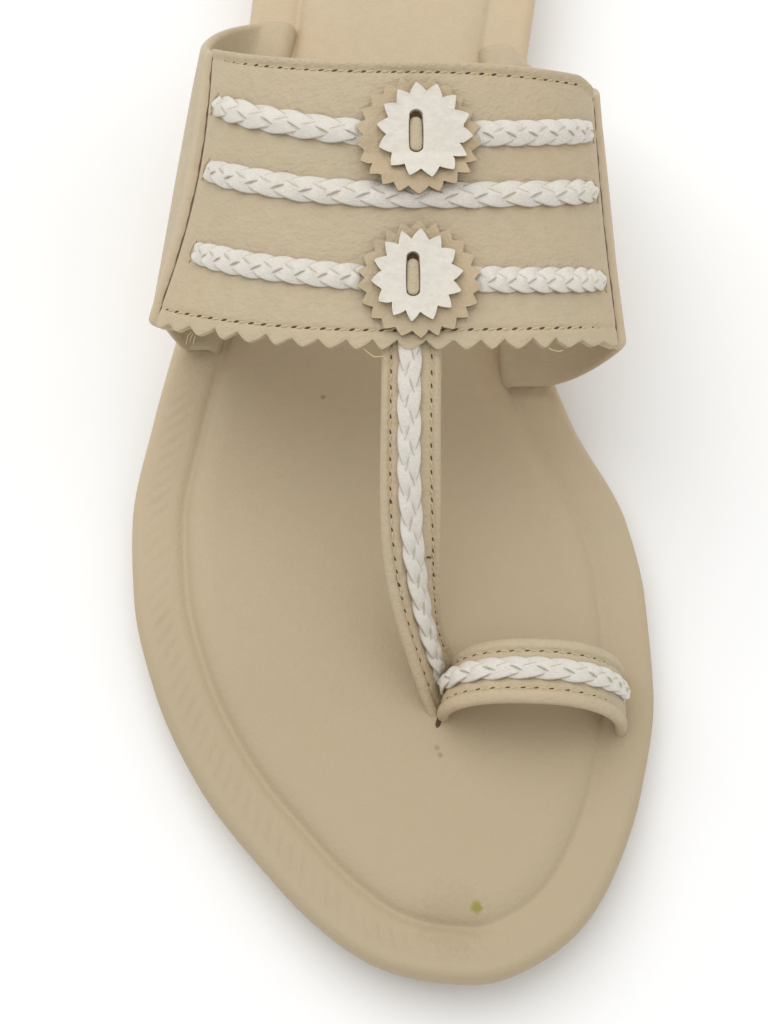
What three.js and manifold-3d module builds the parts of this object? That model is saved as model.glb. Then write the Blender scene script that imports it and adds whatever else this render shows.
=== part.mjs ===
// Kolhapuri sandal for the right foot: wide braided band, centre strap and toe loop on a padded footbed.
// Millimetres, +Z up. The toe points to -Y and the inner side of the foot, with the big toe, is +X.
import * as THREE from "three";
import { mergeVertices } from "three/addons/utils/BufferGeometryUtils.js";
import Module from "manifold-3d";

const wasm = await Module();
wasm.setup();

// Driving sizes of the sole
const soleLength = 250;
const ballWidth = 93;
const outsoleThickness = 3.3;
const outsoleInset = 1.2;
const toeSpring = 4.4;
const heelHeight = 9.5;
const archLift = 4.2;
const breastShare = 0.69;
const breastRun = 5;
const footbedThickness = 4.8;
const edgeRadius = 1.6;
const borderLateral = 9.4;
const borderMedial = 8.2;
const padHeight = 1.8;
const creaseDepth = 0.35;
const gap = 0.3;

// Driving sizes of the straps
const strapThickness = 2;
const slitClearance = 0.45;
const foldRadius = 0.6;
const restWidth = 3.6;
const bandFrontHeight = 42;
const bandBackHeight = 52;
const bandInset = 2.2;
const liningInset = 0.6;
const panelThickness = 1.1;
const panelRoll = 0.4;
const panelRollWidth = 1.2;
const pinkPitch = 5;
const pinkDepth = 2.4;
const centreStrapWidth = 10;
const centreStrapTuck = 9;
const landSlope = 0.9;
const landDrift = 0.42;
const tuckDrop = 0.5;
const toeLoopWidth = 10.4;
const toeLoopHeight = 15.6;
const loopPower = 2.3;
const legOverlap = 0.2;

// Driving sizes of the braids and rosettes
const braidWidth = 4.7;
const narrowBraidWidth = 4.3;
const braidHeight = 1.7;
const braidPitch = 4.9;
const discDiameter = 19.9;
const discTeeth = 22;
const discNotch = 0.125;
const discThickness = 1;
const discRamp = 4;
const starDiameter = 15.8;
const starTeeth = 14;
const starNotch = 0.18;
const starThickness = 0.9;
const starSlotLength = 7.9;
const starSlotWidth = 2.6;
const barLength = 6.6;
const barWidth = 2;
const barHeight = 1;
const barDrop = 0.4;

// Mesh counts
const sideStations = 36;
const bandRows = 7;

// Outline of the footbed: share of the length from the toe, and x as shares of half the ball width
const outline = [
  { share: 0, lateral: 0.3, medial: 0.3 },
  { share: 0.008, lateral: 0.01, medial: 0.47 },
  { share: 0.04, lateral: -0.26, medial: 0.7 },
  { share: 0.08, lateral: -0.46, medial: 0.83 },
  { share: 0.14, lateral: -0.705, medial: 0.94 },
  { share: 0.21, lateral: -0.885, medial: 1 },
  { share: 0.28, lateral: -0.98, medial: 0.985 },
  { share: 0.34, lateral: -1, medial: 0.925 },
  { share: 0.42, lateral: -0.935, medial: 0.725 },
  { share: 0.5, lateral: -0.84, medial: 0.6 },
  { share: 0.6, lateral: -0.71, medial: 0.555 },
  { share: 0.7, lateral: -0.62, medial: 0.57 },
  { share: 0.8, lateral: -0.57, medial: 0.635 },
  { share: 0.88, lateral: -0.565, medial: 0.65 },
  { share: 0.95, lateral: -0.45, medial: 0.54 },
  { share: 1, lateral: 0.045, medial: 0.045 }
];

// Side profile of the face between outsole and footbed: spring as a share of the toe spring, and lift as a
// share of the heel height
const sideProfile = [
  { share: 0, spring: 1, lift: 0 },
  { share: 0.06, spring: 0.56, lift: 0 },
  { share: 0.13, spring: 0.18, lift: 0 },
  { share: 0.21, spring: 0, lift: 0 },
  { share: 0.42, spring: 0, lift: 0 },
  { share: 0.52, spring: 0, lift: 0.13 },
  { share: 0.62, spring: 0, lift: 0.42 },
  { share: 0.72, spring: 0, lift: 0.74 },
  { share: 0.82, spring: 0, lift: 0.94 },
  { share: 0.92, spring: 0, lift: 1 },
  { share: 1, spring: 0, lift: 1.02 }
];

// Underside of the outsole: spring and arch shares, zero where it stands on the floor
const floorProfile = [
  { share: 0, spring: 1, arch: 0 },
  { share: 0.06, spring: 0.53, arch: 0 },
  { share: 0.13, spring: 0.14, arch: 0 },
  { share: 0.2, spring: 0, arch: 0 },
  { share: 0.44, spring: 0, arch: 0 },
  { share: 0.56, spring: 0, arch: 0.45 },
  { share: 0.64, spring: 0, arch: 0.85 },
  { share: breastShare, spring: 0, arch: 1 },
  { share: breastShare + breastRun / soleLength, spring: 0, arch: 0 },
  { share: 0.94, spring: 0, arch: 0 },
  { share: 1, spring: 0, arch: 0.28 }
];

// Band edges as shares: distances from the toe by the sole length, x by half the ball width, bulgeRise by the
// height. Lean is the power by which the edge moves to the crown's place, and shoulder the superellipse power
const bandEdges = {
  front: {
    lateralSlit: -0.715, lateralShare: 0.473, lateralLean: 2.1, lateralBulge: -0.9, lateralShoulder: 2.25,
    medialSlit: 0.49, medialShare: 0.443, medialLean: 2, medialBulge: 0.885, medialShoulder: 2.25,
    crownX: 0.08, crownShare: 0.386, bulgeRise: 0.6
  },
  back: {
    lateralSlit: -0.42, lateralShare: 0.75, lateralLean: 1.05, lateralBulge: -0.72, lateralShoulder: 2.25,
    medialSlit: 0.42, medialShare: 0.73, medialLean: 0.54, medialBulge: 0.8, medialShoulder: 1.95,
    crownX: 0.08, crownShare: 0.567, bulgeRise: 0.56
  }
};

// Seams of the face panel, as shares of the turn from the bulge to the crown, bowed by a share halfway
const seamTurn = {
  lateral: { front: 0.2, back: 0.29, bow: 0.09 },
  medial: { front: 0.25, back: 0.3, bow: 0.02 }
};
const braidEndMargin = 2.4;

// Toe post and toe loop: x by half the ball width, distance from the toe by the sole length
const post = { x: 0.215, share: 0.207, turn: 0.27 };
const loopEnd = { x: 0.905, share: 0.2 };

// Rows of braid on the band: share from the front edge at the lateral end, crown and medial end
const braidRows = {
  back: { lateral: 0.8, crown: 0.74, medial: 0.765 },
  middle: { lateral: 0.565, crown: 0.535, medial: 0.535 },
  front: { lateral: 0.28, crown: 0.25, medial: 0.215 }
};
const rosettes = {
  back: { x: 0.1, row: 0.735 },
  front: { x: 0.105, row: 0.24 }
};

// Colours read from the photograph as plain materials
const beigeLeather = new THREE.MeshStandardMaterial({ color: 0xc0b194, roughness: 0.6, metalness: 0 });
const footbedLeather = new THREE.MeshStandardMaterial({ color: 0xc4b395, roughness: 0.65, metalness: 0 });
const whiteLeather = new THREE.MeshStandardMaterial({ color: 0xdbd5c7, roughness: 0.55, metalness: 0 });
const moulded = new THREE.MeshStandardMaterial({ color: 0xb9a585, roughness: 0.8, metalness: 0 });

const halfBall = ballWidth / 2;
const lerp = THREE.MathUtils.lerp;
const clamp = THREE.MathUtils.clamp;
const vector = (x, y, z) => new THREE.Vector3(x, y, z);

// Smooth value of a table column, with slopes that never overshoot the rows
function tableValue(rows, key, column, at) {
  const last = rows.length - 1;
  const x = clamp(at, rows[0][key], rows[last][key]);
  let i = 0;
  while (i < last - 1 && rows[i + 1][key] < x) i += 1;
  const slope = (k) => (rows[k + 1][column] - rows[k][column]) / (rows[k + 1][key] - rows[k][key]);
  const tangent = (k) => {
    if (k === 0) return slope(0);
    if (k === last) return slope(last - 1);
    const before = slope(k - 1);
    const after = slope(k);
    return before * after <= 0 ? 0 : (2 * before * after) / (before + after);
  };
  const run = rows[i + 1][key] - rows[i][key];
  const t = (x - rows[i][key]) / run;
  const t2 = t * t;
  const t3 = t2 * t;
  return (2 * t3 - 3 * t2 + 1) * rows[i][column] + (t3 - 2 * t2 + t) * run * tangent(i)
    + (3 * t2 - 2 * t3) * rows[i + 1][column] + (t3 - t2) * run * tangent(i + 1);
}

// Outline in terms of a turn from toe (0) to heel (pi), so that both ends close round
const outlineByTurn = outline.map((row) => ({ ...row, turn: Math.acos(1 - 2 * row.share) }));
const turnOf = (share) => Math.acos(1 - 2 * share);
const shareOf = (turn) => (1 - Math.cos(turn)) / 2;
const yOf = (share) => (share - 0.5) * soleLength;
const shareAt = (y) => clamp(y / soleLength + 0.5, 0, 1);

function outlinePoint(side, turn) {
  return { x: halfBall * tableValue(outlineByTurn, "turn", side, turn), y: yOf(shareOf(turn)) };
}

// Heights of the faces between the floor and the padded top
function bedBottom(y) {
  const share = shareAt(y);
  return outsoleThickness + toeSpring * tableValue(sideProfile, "share", "spring", share)
    + heelHeight * tableValue(sideProfile, "share", "lift", share);
}

function outsoleBottom(y) {
  const share = shareAt(y);
  return toeSpring * tableValue(floorProfile, "share", "spring", share)
    + archLift * tableValue(floorProfile, "share", "arch", share);
}

const borderTop = (y) => bedBottom(y) + footbedThickness;

// Stations along each side, with one at each edge of the heel breast
const evenTurns = Array.from({ length: sideStations + 1 }, (_, i) => (i / sideStations) * Math.PI);
const breastTurns = [turnOf(breastShare), turnOf(breastShare + breastRun / soleLength)];
const stationTurns = evenTurns
  .filter((turn) => breastTurns.every((edge) => Math.abs(edge - turn) > 0.4 * Math.PI / sideStations))
  .concat(breastTurns)
  .sort((a, b) => a - b);

// Closed ring of outline points with outward normals, from toe to heel on the inner side and back on the outer
const soleRing = stationTurns.map((turn) => ({ side: "medial", turn }))
  .concat(stationTurns.slice(1, -1).reverse().map((turn) => ({ side: "lateral", turn })))
  .map((spot) => {
    const here = outlinePoint(spot.side, spot.turn);
    const step = 0.02;
    const before = outlinePoint(spot.side, Math.max(spot.turn - step, 0));
    const after = outlinePoint(spot.side, Math.min(spot.turn + step, Math.PI));
    const sign = spot.side === "medial" ? 1 : -1;
    const normal = new THREE.Vector2(sign * (after.y - before.y), -sign * (after.x - before.x)).normalize();
    if (spot.turn === 0) normal.set(0, -1);
    if (spot.turn === Math.PI) normal.set(0, 1);
    const border = lerp(borderLateral, borderMedial, (normal.x + 1) / 2);
    const spineShare = clamp(shareOf(spot.turn), 0.15, 0.89);
    const spineTurn = turnOf(spineShare);
    const spineX = (outlinePoint("medial", spineTurn).x + outlinePoint("lateral", spineTurn).x) / 2;
    return { ...here, normal, border, spine: { x: spineX, y: yOf(spineShare) } };
  });

// Closed mesh from a list of triangles of points, with equal points merged and flat slivers dropped
function closedGeometry(positions) {
  const raw = new THREE.BufferGeometry();
  raw.setAttribute("position", new THREE.Float32BufferAttribute(positions, 3));
  const merged = mergeVertices(raw, 1e-3);
  const index = merged.index.array;
  const kept = [];
  for (let i = 0; i < index.length; i += 3) {
    const [a, b, c] = [index[i], index[i + 1], index[i + 2]];
    if (a !== b && b !== c && a !== c) kept.push(a, b, c);
  }
  merged.setIndex(kept);
  return merged;
}

function toSolid(geometry) {
  const vertProperties = new Float32Array(geometry.attributes.position.array);
  const triVerts = new Uint32Array(geometry.index.array);
  return new wasm.Manifold(new wasm.Mesh({ numProp: 3, vertProperties, triVerts }));
}

function toGeometry(solid) {
  const mesh = solid.getMesh();
  const geometry = new THREE.BufferGeometry();
  geometry.setAttribute("position", new THREE.BufferAttribute(new Float32Array(mesh.vertProperties), 3));
  geometry.setIndex(new THREE.BufferAttribute(new Uint32Array(mesh.triVerts), 1));
  return geometry;
}

function pushQuad(out, a, b, c, d) {
  for (const p of [a, b, c, a, c, d]) out.push(p.x, p.y, p.z);
}

// Solid of rings: each ring of points is joined to the next, and the first and last rings close on a line
function ringSolid(rings) {
  const out = [];
  for (let k = 0; k < rings.length - 1; k += 1) {
    const count = rings[k].length;
    for (let i = 0; i < count; i += 1) {
      const j = (i + 1) % count;
      pushQuad(out, rings[k][i], rings[k][j], rings[k + 1][j], rings[k + 1][i]);
    }
  }
  return closedGeometry(out);
}

// Ring of a sole piece at an inset from the outline, or at a share of the way from there to the spine
function insetRing(inset, toSpine, height) {
  return soleRing.map((spot) => {
    const distance = typeof inset === "function" ? inset(spot) : inset;
    const edgeX = spot.x - spot.normal.x * distance;
    const edgeY = spot.y - spot.normal.y * distance;
    const x = lerp(edgeX, spot.spine.x, toSpine);
    const y = lerp(edgeY, spot.spine.y, toSpine);
    return vector(x, y, height(y));
  });
}

function makeOutsole() {
  const top = (y) => bedBottom(y) - gap;
  const edge = outsoleInset;
  return ringSolid([
    insetRing(edge + 1, 1, outsoleBottom),
    insetRing(edge + 1, 0.5, outsoleBottom),
    insetRing(edge + 1, 0, outsoleBottom),
    insetRing(edge, 0, (y) => Math.min(outsoleBottom(y) + 1, top(y) - 1)),
    insetRing(edge, 0, top),
    insetRing(edge, 0.5, top),
    insetRing(edge, 1, top)
  ]);
}

// Straight slit cutter around a strap leg, from one end of the leg to the other in plan
function slitCutter(from, to, outward, inward, endClearance = slitClearance) {
  const along = new THREE.Vector2(to.x - from.x, to.y - from.y);
  const length = along.length() + 2 * endClearance;
  const width = outward + inward;
  const geometry = new THREE.BoxGeometry(width, length, 60);
  geometry.deleteAttribute("normal");
  geometry.deleteAttribute("uv");
  const box = mergeVertices(geometry, 1e-3);
  box.translate((outward - inward) / 2, 0, 0);
  box.rotateZ(-Math.atan2(along.x, along.y));
  box.translate((from.x + to.x) / 2, (from.y + to.y) / 2, 10);
  return toSolid(box);
}

function makeFootbed() {
  const top = (extra) => (y) => borderTop(y) + extra;
  const border = (more) => (spot) => spot.border + more;
  const corner = edgeRadius * (1 - Math.SQRT1_2);
  const rings = [
    insetRing(edgeRadius * 0.5, 1, bedBottom),
    insetRing(edgeRadius * 0.5, 0.5, bedBottom),
    insetRing(edgeRadius * 0.5, 0, bedBottom),
    insetRing(0, 0, (y) => bedBottom(y) + edgeRadius * 0.5),
    insetRing(0, 0, top(-edgeRadius)),
    insetRing(corner, 0, top(-corner)),
    insetRing(edgeRadius, 0, top(0)),
    insetRing(border(0), 0, top(-creaseDepth)),
    insetRing(border(1.6), 0, top(padHeight * 0.72)),
    insetRing(border(4.2), 0, top(padHeight)),
    insetRing(border(4.2), 0.5, top(padHeight)),
    insetRing(border(4.2), 1, top(padHeight))
  ];
  let solid = toSolid(ringSolid(rings));
  const bandFoot = (side, w) => ({ x: bandEdge(w)[`${side}Slit`], y: bandEdge(w)[`${side}Y`] });
  const inward = strapThickness + slitClearance;
  const range = bandRange();
  const cutters = [
    slitCutter(bandFoot("medial", range.front), bandFoot("medial", range.back), slitClearance, inward),
    slitCutter(bandFoot("lateral", range.front), bandFoot("lateral", range.back), inward, slitClearance)
  ];
  const postFoot = postLine();
  const postHalf = strapThickness + slitClearance + legOverlap;
  cutters.push(slitCutter(postFoot.front, postFoot.back, postHalf, postHalf, 2 * slitClearance));
  const outer = loopFeet().outer;
  cutters.push(slitCutter(outer.front, outer.back, slitClearance, inward));
  for (const cutter of cutters) solid = solid.subtract(cutter);
  return toGeometry(solid);
}

// Sizes of the band at a share w from its front edge (0) to its back edge (1)
function bandEdge(w) {
  const size = (name) => lerp(bandEdges.front[name], bandEdges.back[name], w);
  return {
    lateralSlit: size("lateralSlit") * halfBall,
    medialSlit: size("medialSlit") * halfBall,
    lateralBulge: size("lateralBulge") * halfBall,
    medialBulge: size("medialBulge") * halfBall,
    crownX: size("crownX") * halfBall,
    lateralY: yOf(size("lateralShare")),
    medialY: yOf(size("medialShare")),
    crownY: yOf(size("crownShare")),
    height: lerp(bandFrontHeight, bandBackHeight, w),
    bulgeRise: size("bulgeRise"),
    lateralLean: size("lateralLean"),
    medialLean: size("medialLean"),
    lateralShoulder: size("lateralShoulder"),
    medialShoulder: size("medialShoulder")
  };
}

// Share of the band's width from front to back that a length in millimetres takes up along the crown
function bandShare(millimetres) {
  const front = bandEdge(0);
  const back = bandEdge(1);
  const rise = borderTop(back.lateralY) + back.height - borderTop(front.lateralY) - front.height;
  return millimetres / Math.hypot(back.crownY - front.crownY, rise);
}

// The lining strap stops a little inside the panel's back edge. Its front edge does so at the crown only, and
// comes out level with the panel's edge on both sides
const bandRange = () => ({ front: 0, back: 1 - bandShare(liningInset) });

function liningFront(station) {
  const fromCrown = Math.abs(station - crownStation);
  const inset = 1 - THREE.MathUtils.smoothstep(fromCrown, upperSteps * 0.45, upperSteps * 0.8);
  return bandShare(bandInset) * inset;
}

const foldSteps = 3;
const lowerSteps = 5;
const upperSteps = 9;

// Outer face of the band from its slit to the crown on one side: down the leg, round the fold, out over the
// border, a quarter ellipse up to the bulge and a superellipse quarter over the shoulder.
// Both sides meet at the height of the lateral side's crown
function bandHalf(side, w) {
  const edge = bandEdge(w);
  const slit = edge[`${side}Slit`];
  const bulge = edge[`${side}Bulge`];
  const slitY = edge[`${side}Y`];
  const away = Math.sign(bulge - slit);
  const rise0 = gap + 0.1;
  const power = 2 / edge[`${side}Shoulder`];
  const points = [];
  const place = (x, rise, toCrown = 0) => {
    const lean = Math.max(rise - rise0, 0) / (edge.height - rise0);
    const y = lerp(slitY, edge.crownY, lean ** edge[`${side}Lean`]);
    const base = lerp(borderTop(slitY), borderTop(edge.lateralY), THREE.MathUtils.smoothstep(toCrown, 0, 1));
    points.push(vector(x, y, base + rise));
  };
  place(slit, gap / 2 - footbedThickness);
  for (let i = 0; i <= foldSteps; i += 1) {
    const angle = (i / foldSteps) * Math.PI / 2;
    place(slit + away * foldRadius * (1 - Math.cos(angle)), rise0 - foldRadius * (1 - Math.sin(angle)));
  }
  const restX = slit + away * (foldRadius + restWidth);
  const bulgeRise = edge.height * edge.bulgeRise;
  for (let i = 0; i <= lowerSteps; i += 1) {
    const angle = (i / lowerSteps) * Math.PI / 2;
    place(lerp(restX, bulge, Math.sin(angle)), lerp(bulgeRise, rise0, Math.cos(angle)));
  }
  for (let i = 1; i <= upperSteps; i += 1) {
    const angle = (i / upperSteps) * Math.PI / 2;
    const across = Math.max(Math.cos(angle), 0) ** power;
    const up = Math.sin(angle) ** power;
    place(lerp(edge.crownX, bulge, across), lerp(bulgeRise, edge.height, up), i / upperSteps);
  }
  return points;
}

function bandSection(w) {
  const lateral = bandHalf("lateral", w);
  const medial = bandHalf("medial", w).reverse();
  return lateral.concat(medial.slice(1));
}

const bandStations = bandSection(0).length - 1;
const crownStation = bandStations / 2;

// Band surface: station u runs from the lateral slit round to the medial slit, w from front edge to back edge
function bandSurface(u, w) {
  const section = bandSection(w);
  const at = clamp(u, 0, bandStations);
  const i = Math.min(Math.floor(at), bandStations - 1);
  return section[i].clone().lerp(section[i + 1], at - i);
}

// Point and outward normal of any surface of two parameters
function surfaceFrame(surface, u, v, stepU, stepV) {
  const alongU = surface(u + stepU, v).sub(surface(u - stepU, v));
  const alongV = surface(u, v + stepV).sub(surface(u, v - stepV));
  return { point: surface(u, v), normal: alongU.cross(alongV).normalize() };
}

const bandFrame = (u, w) => surfaceFrame(bandSurface, u, w, 0.5, 0.02);

function offsetPoint(frame, distance) {
  return frame.point.clone().addScaledVector(frame.normal, distance);
}

// Closed sheet between two grids of points with the same rows and columns, the outer grid on the normal side
function sheetGeometry(outer, inner) {
  const out = [];
  const rows = outer.length - 1;
  const columns = outer[0].length - 1;
  for (let i = 0; i < rows; i += 1) {
    for (let j = 0; j < columns; j += 1) {
      pushQuad(out, outer[i][j], outer[i + 1][j], outer[i + 1][j + 1], outer[i][j + 1]);
      pushQuad(out, inner[i][j], inner[i][j + 1], inner[i + 1][j + 1], inner[i + 1][j]);
    }
    pushQuad(out, inner[i][0], inner[i + 1][0], outer[i + 1][0], outer[i][0]);
    pushQuad(out, outer[i][columns], outer[i + 1][columns], inner[i + 1][columns], inner[i][columns]);
  }
  for (let j = 0; j < columns; j += 1) {
    pushQuad(out, outer[0][j], outer[0][j + 1], inner[0][j + 1], inner[0][j]);
    pushQuad(out, inner[rows][j], inner[rows][j + 1], outer[rows][j + 1], outer[rows][j]);
  }
  return closedGeometry(out);
}

function grid(rows, columns, make) {
  return Array.from({ length: rows }, (_, i) => Array.from({ length: columns }, (__, j) => make(i, j)));
}

function makeBandLining() {
  const range = bandRange();
  const at = (i, j) => bandFrame(i, lerp(liningFront(i), range.back, j / bandRows));
  const frames = grid(bandStations + 1, bandRows + 1, at);
  const outer = frames.map((row) => row.map((frame) => frame.point));
  const inner = frames.map((row) => row.map((frame) => offsetPoint(frame, -strapThickness)));
  return sheetGeometry(outer, inner);
}

// Toe post: both legs run along one line in plan, turned a little from the length of the foot
const postHalfLength = () => Math.max(centreStrapWidth / Math.sin(landSlope), toeLoopWidth) / 2;

function postLine() {
  const centre = { x: post.x * halfBall, y: yOf(post.share) };
  const half = postHalfLength();
  const dx = Math.sin(post.turn) * half;
  const dy = Math.cos(post.turn) * half;
  return {
    centre,
    front: { x: centre.x - dx, y: centre.y - dy },
    back: { x: centre.x + dx, y: centre.y + dy }
  };
}

// Centre strap: its spine leaves the band along the band's own slope and comes down to the post slit at a
// slant, while its width turns from across the foot to along it
function centreStrapPath() {
  const crown = bandSurface(crownStation, 0);
  const slope = crown.clone().sub(bandSurface(crownStation, 0.2)).normalize();
  const start = crown.clone().addScaledVector(slope, -bandInset);
  start.z -= tuckDrop;
  const line = postLine();
  const foot = vector(line.centre.x, line.centre.y, borderTop(line.centre.y) + padHeight);
  const land = vector(landDrift, -Math.cos(landSlope), -Math.sin(landSlope)).normalize();
  const handle = start.distanceTo(foot) * 0.32;
  const leaveAt = start.clone().addScaledVector(slope, handle);
  const landAt = foot.clone().addScaledVector(land, -handle);
  return { curve: new THREE.CubicBezierCurve3(start, leaveAt, landAt, foot), slope, start, foot, land };
}

const centrePath = centreStrapPath();

// Outer face of the centre strap: t along its spine from under the band (below 0) to the slit (1) and down
// it (2), v across it from -1 at the edge that turns to the toe to 1 at the edge that turns to the heel
function centreStrapFace(t, v) {
  const { curve, slope, start, foot } = centrePath;
  const half = centreStrapWidth / 2;
  const inside = clamp(t, 0, 1);
  const eased = inside * inside * (3 - 2 * inside);
  const forward = curve.getTangent(inside);
  const across = vector(1, 0, 0).lerp(vector(Math.sin(post.turn), Math.cos(post.turn), 0), eased);
  across.addScaledVector(forward, -across.dot(forward)).setLength(half);
  const slit = vector(Math.sin(post.turn), Math.cos(post.turn), 0).multiplyScalar(postHalfLength());
  across.lerp(slit, THREE.MathUtils.smoothstep(inside, 0.72, 1));
  const spine = curve.getPoint(inside);
  if (t < 0) spine.copy(start).addScaledVector(slope, t * centreStrapTuck);
  if (t > 1) spine.copy(foot).add(vector(0, 0, -(t - 1) * (footbedThickness + padHeight)));
  return spine.addScaledVector(across, v);
}

// Frame of the centre strap: its face looks up at the band and to the inner side of the foot at the post
function centreStrapFrame(t, v) {
  const step = t > 1 - 0.02 ? Math.max(t - 0.98, 0) : 0;
  const frame = surfaceFrame(centreStrapFace, t - step, v, 0.02, 0.1);
  frame.point = centreStrapFace(t, v);
  if (t > 1) frame.normal = vector(Math.cos(post.turn), -Math.sin(post.turn), 0);
  return frame;
}

const centreSteps = [-1, -0.5, 0, 0.07, 0.14, 0.22, 0.3, 0.38, 0.46, 0.54, 0.62, 0.7, 0.78, 0.86, 0.93, 1, 2];

function makeCentreStrap() {
  const face = centreSteps.map((t) => [-1, -0.5, 0, 0.5, 1].map((v) => centreStrapFrame(t, v)));
  const outer = face.map((row) => row.map((frame) => frame.point));
  const inner = face.map((row) => row.map((frame) => offsetPoint(frame, -strapThickness)));
  return sheetGeometry(outer, inner);
}

// Feet of the toe loop in plan: the post line and a parallel line near the inner edge of the footbed
function loopFeet() {
  const line = postLine();
  const half = toeLoopWidth / 2;
  const outerX = loopEnd.x * halfBall;
  const outerY = yOf(loopEnd.share);
  const shift = -legOverlap;
  const dx = Math.sin(post.turn) * half;
  const dy = Math.cos(post.turn) * half;
  return {
    inner: {
      front: { x: line.centre.x + shift - dx, y: line.centre.y - dy },
      back: { x: line.centre.x + shift + dx, y: line.centre.y + dy }
    },
    outer: { front: { x: outerX, y: outerY - half }, back: { x: outerX, y: outerY + half } }
  };
}

const loopSteps = 14;

// Outer face of the toe loop: s round from the post (0) to the outer slit (1), v from front (0) to back (1)
function toeLoopFace(s, v) {
  const feet = loopFeet();
  const between = ({ front, back }) => ({ x: lerp(front.x, back.x, v), y: lerp(front.y, back.y, v) });
  const from = between(feet.inner);
  const to = between(feet.outer);
  const padTop = borderTop(from.y) + padHeight;
  const borderLevel = borderTop(to.y);
  const legEnd = (y) => borderTop(y) - footbedThickness;
  if (s <= 0) return vector(from.x, from.y, lerp(padTop, legEnd(from.y), clamp(-s, 0, 1)));
  if (s >= 1) return vector(to.x, to.y, lerp(borderLevel, legEnd(to.y), clamp(s - 1, 0, 1)));
  const angle = s * Math.PI;
  const wide = (to.x - from.x) / 2;
  const across = Math.sign(-Math.cos(angle)) * Math.abs(Math.cos(angle)) ** (2 / loopPower);
  const up = Math.sin(angle) ** (2 / loopPower) * (toeLoopHeight - padHeight / 2);
  const base = lerp(padTop, borderLevel, s);
  return vector((from.x + to.x) / 2 + across * wide, lerp(from.y, to.y, s), base + up);
}

const loopStations = [-1, ...Array.from({ length: loopSteps + 1 }, (_, i) => i / loopSteps), 2];

function loopFrame(s, v) {
  const frame = surfaceFrame(toeLoopFace, s, v, 0.02, 0.05);
  if (s <= 0) frame.normal.set(-Math.cos(post.turn), Math.sin(post.turn), 0);
  if (s >= 1) frame.normal.set(1, 0, 0);
  return frame;
}

function makeToeLoop() {
  const frames = loopStations.map((s) => [0, 0.25, 0.5, 0.75, 1].map((v) => loopFrame(s, v)));
  const outer = frames.map((row) => row.map((frame) => frame.point));
  const inner = frames.map((row) => row.map((frame) => offsetPoint(frame, -strapThickness)));
  return sheetGeometry(outer, inner);
}

// The upper is one piece of leatherwork: band lining, centre strap and toe loop joined where they cross
function makeUpper() {
  const band = toSolid(makeBandLining());
  const centre = toSolid(makeCentreStrap());
  const loop = toSolid(makeToeLoop());
  return toGeometry(band.add(centre).add(loop));
}

// Station on the band where an arc length measured along row w from the crown is reached
function stationAtLength(length, w) {
  const section = bandSection(w);
  const step = Math.sign(length) || 1;
  let left = Math.abs(length);
  let i = crownStation;
  while (i + step >= 0 && i + step <= bandStations) {
    const run = section[i].distanceTo(section[i + step]);
    if (left <= run) return i + step * (left / run);
    left -= run;
    i += step;
  }
  return i;
}

// The face panel ends at a seam just above the bulge on each side
function seamStation(side, w) {
  const { front, back, bow } = seamTurn[side];
  const turn = lerp(front, back, w) + 4 * bow * w * (1 - w);
  return crownStation + (side === "medial" ? 1 : -1) * upperSteps * (1 - turn);
}

function lengthToStation(station, w) {
  const section = bandSection(w);
  const step = Math.sign(station - crownStation);
  let length = 0;
  let i = crownStation;
  while (step * (station - i) >= 1) {
    length += section[i].distanceTo(section[i + step]);
    i += step;
  }
  const rest = section[i].distanceTo(section[i + step] ?? section[i]);
  return step * (length + Math.abs(station - i) * rest);
}

function makePanel() {
  const from = lengthToStation(seamStation("lateral", 0), 0);
  const to = lengthToStation(seamStation("medial", 0), 0);
  const teeth = Math.max(Math.round((to - from) / pinkPitch), 3);
  const columns = teeth * 2;
  const first = seamStation("lateral", 0);
  const last = seamStation("medial", 0);
  const rollShare = bandShare(panelRollWidth);
  const rows = [0, 0.14, 0.3, 0.46, 0.62, 0.78, 1 - 1.8 * rollShare, 1 - rollShare, 1];
  const at = (i, j) => {
    const w = j === 0 ? (i % 2) * bandShare(pinkDepth) : rows[j];
    const round = (stationAtLength(lerp(from, to, i / columns), 0) - first) / (last - first);
    const u = lerp(seamStation("lateral", w), seamStation("medial", w), round);
    const rolled = rows[j] > 1 - 1.5 * rollShare ? panelRoll : 0;
    const frame = bandFrame(u, w);
    return { outer: offsetPoint(frame, gap + panelThickness + rolled), inner: offsetPoint(frame, gap) };
  };
  const cells = grid(columns + 1, rows.length, at);
  const face = (name) => cells.map((row) => row.map((cell) => cell[name]));
  return sheetGeometry(face("outer"), face("inner"));
}

// Braid along a path of frames: a low crowned strip whose edges and top swell at each crossing of the strands
function braidGeometry(frameAt, length, lift, width) {
  const steps = Math.max(Math.round((length / braidPitch) * 3), 8);
  const across = [-1, -0.55, 0, 0.55, 1];
  const outer = [];
  const inner = [];
  for (let i = 0; i <= steps; i += 1) {
    const s = i / steps;
    const phase = (s * length / braidPitch) * 2 * Math.PI;
    const end = Math.min(1, Math.min(s, 1 - s) * length / 2.5 + 0.35);
    const taper = 0.8 + 0.2 * end;
    outer.push(across.map((v) => {
      const swell = 1 + 0.09 * Math.cos(phase + (v > 0 ? Math.PI : 0)) * Math.sign(Math.abs(v));
      const crown = 0.5 + 0.5 * Math.sqrt(Math.max(1 - v * v, 0));
      const lobe = 1 + 0.1 * Math.cos(phase + (v > 0 ? Math.PI : 0) + Math.abs(v));
      const height = Math.abs(v) === 1 ? 0.35 : crown * Math.min(lobe, 1);
      return frameAt(s, v * width / 2 * swell * taper, lift + gap + braidHeight * height * (0.5 + 0.5 * end));
    }));
    inner.push(across.map((v) => frameAt(s, v * width / 2 * 0.94 * taper, lift + gap)));
  }
  return sheetGeometry(outer, inner);
}

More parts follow.
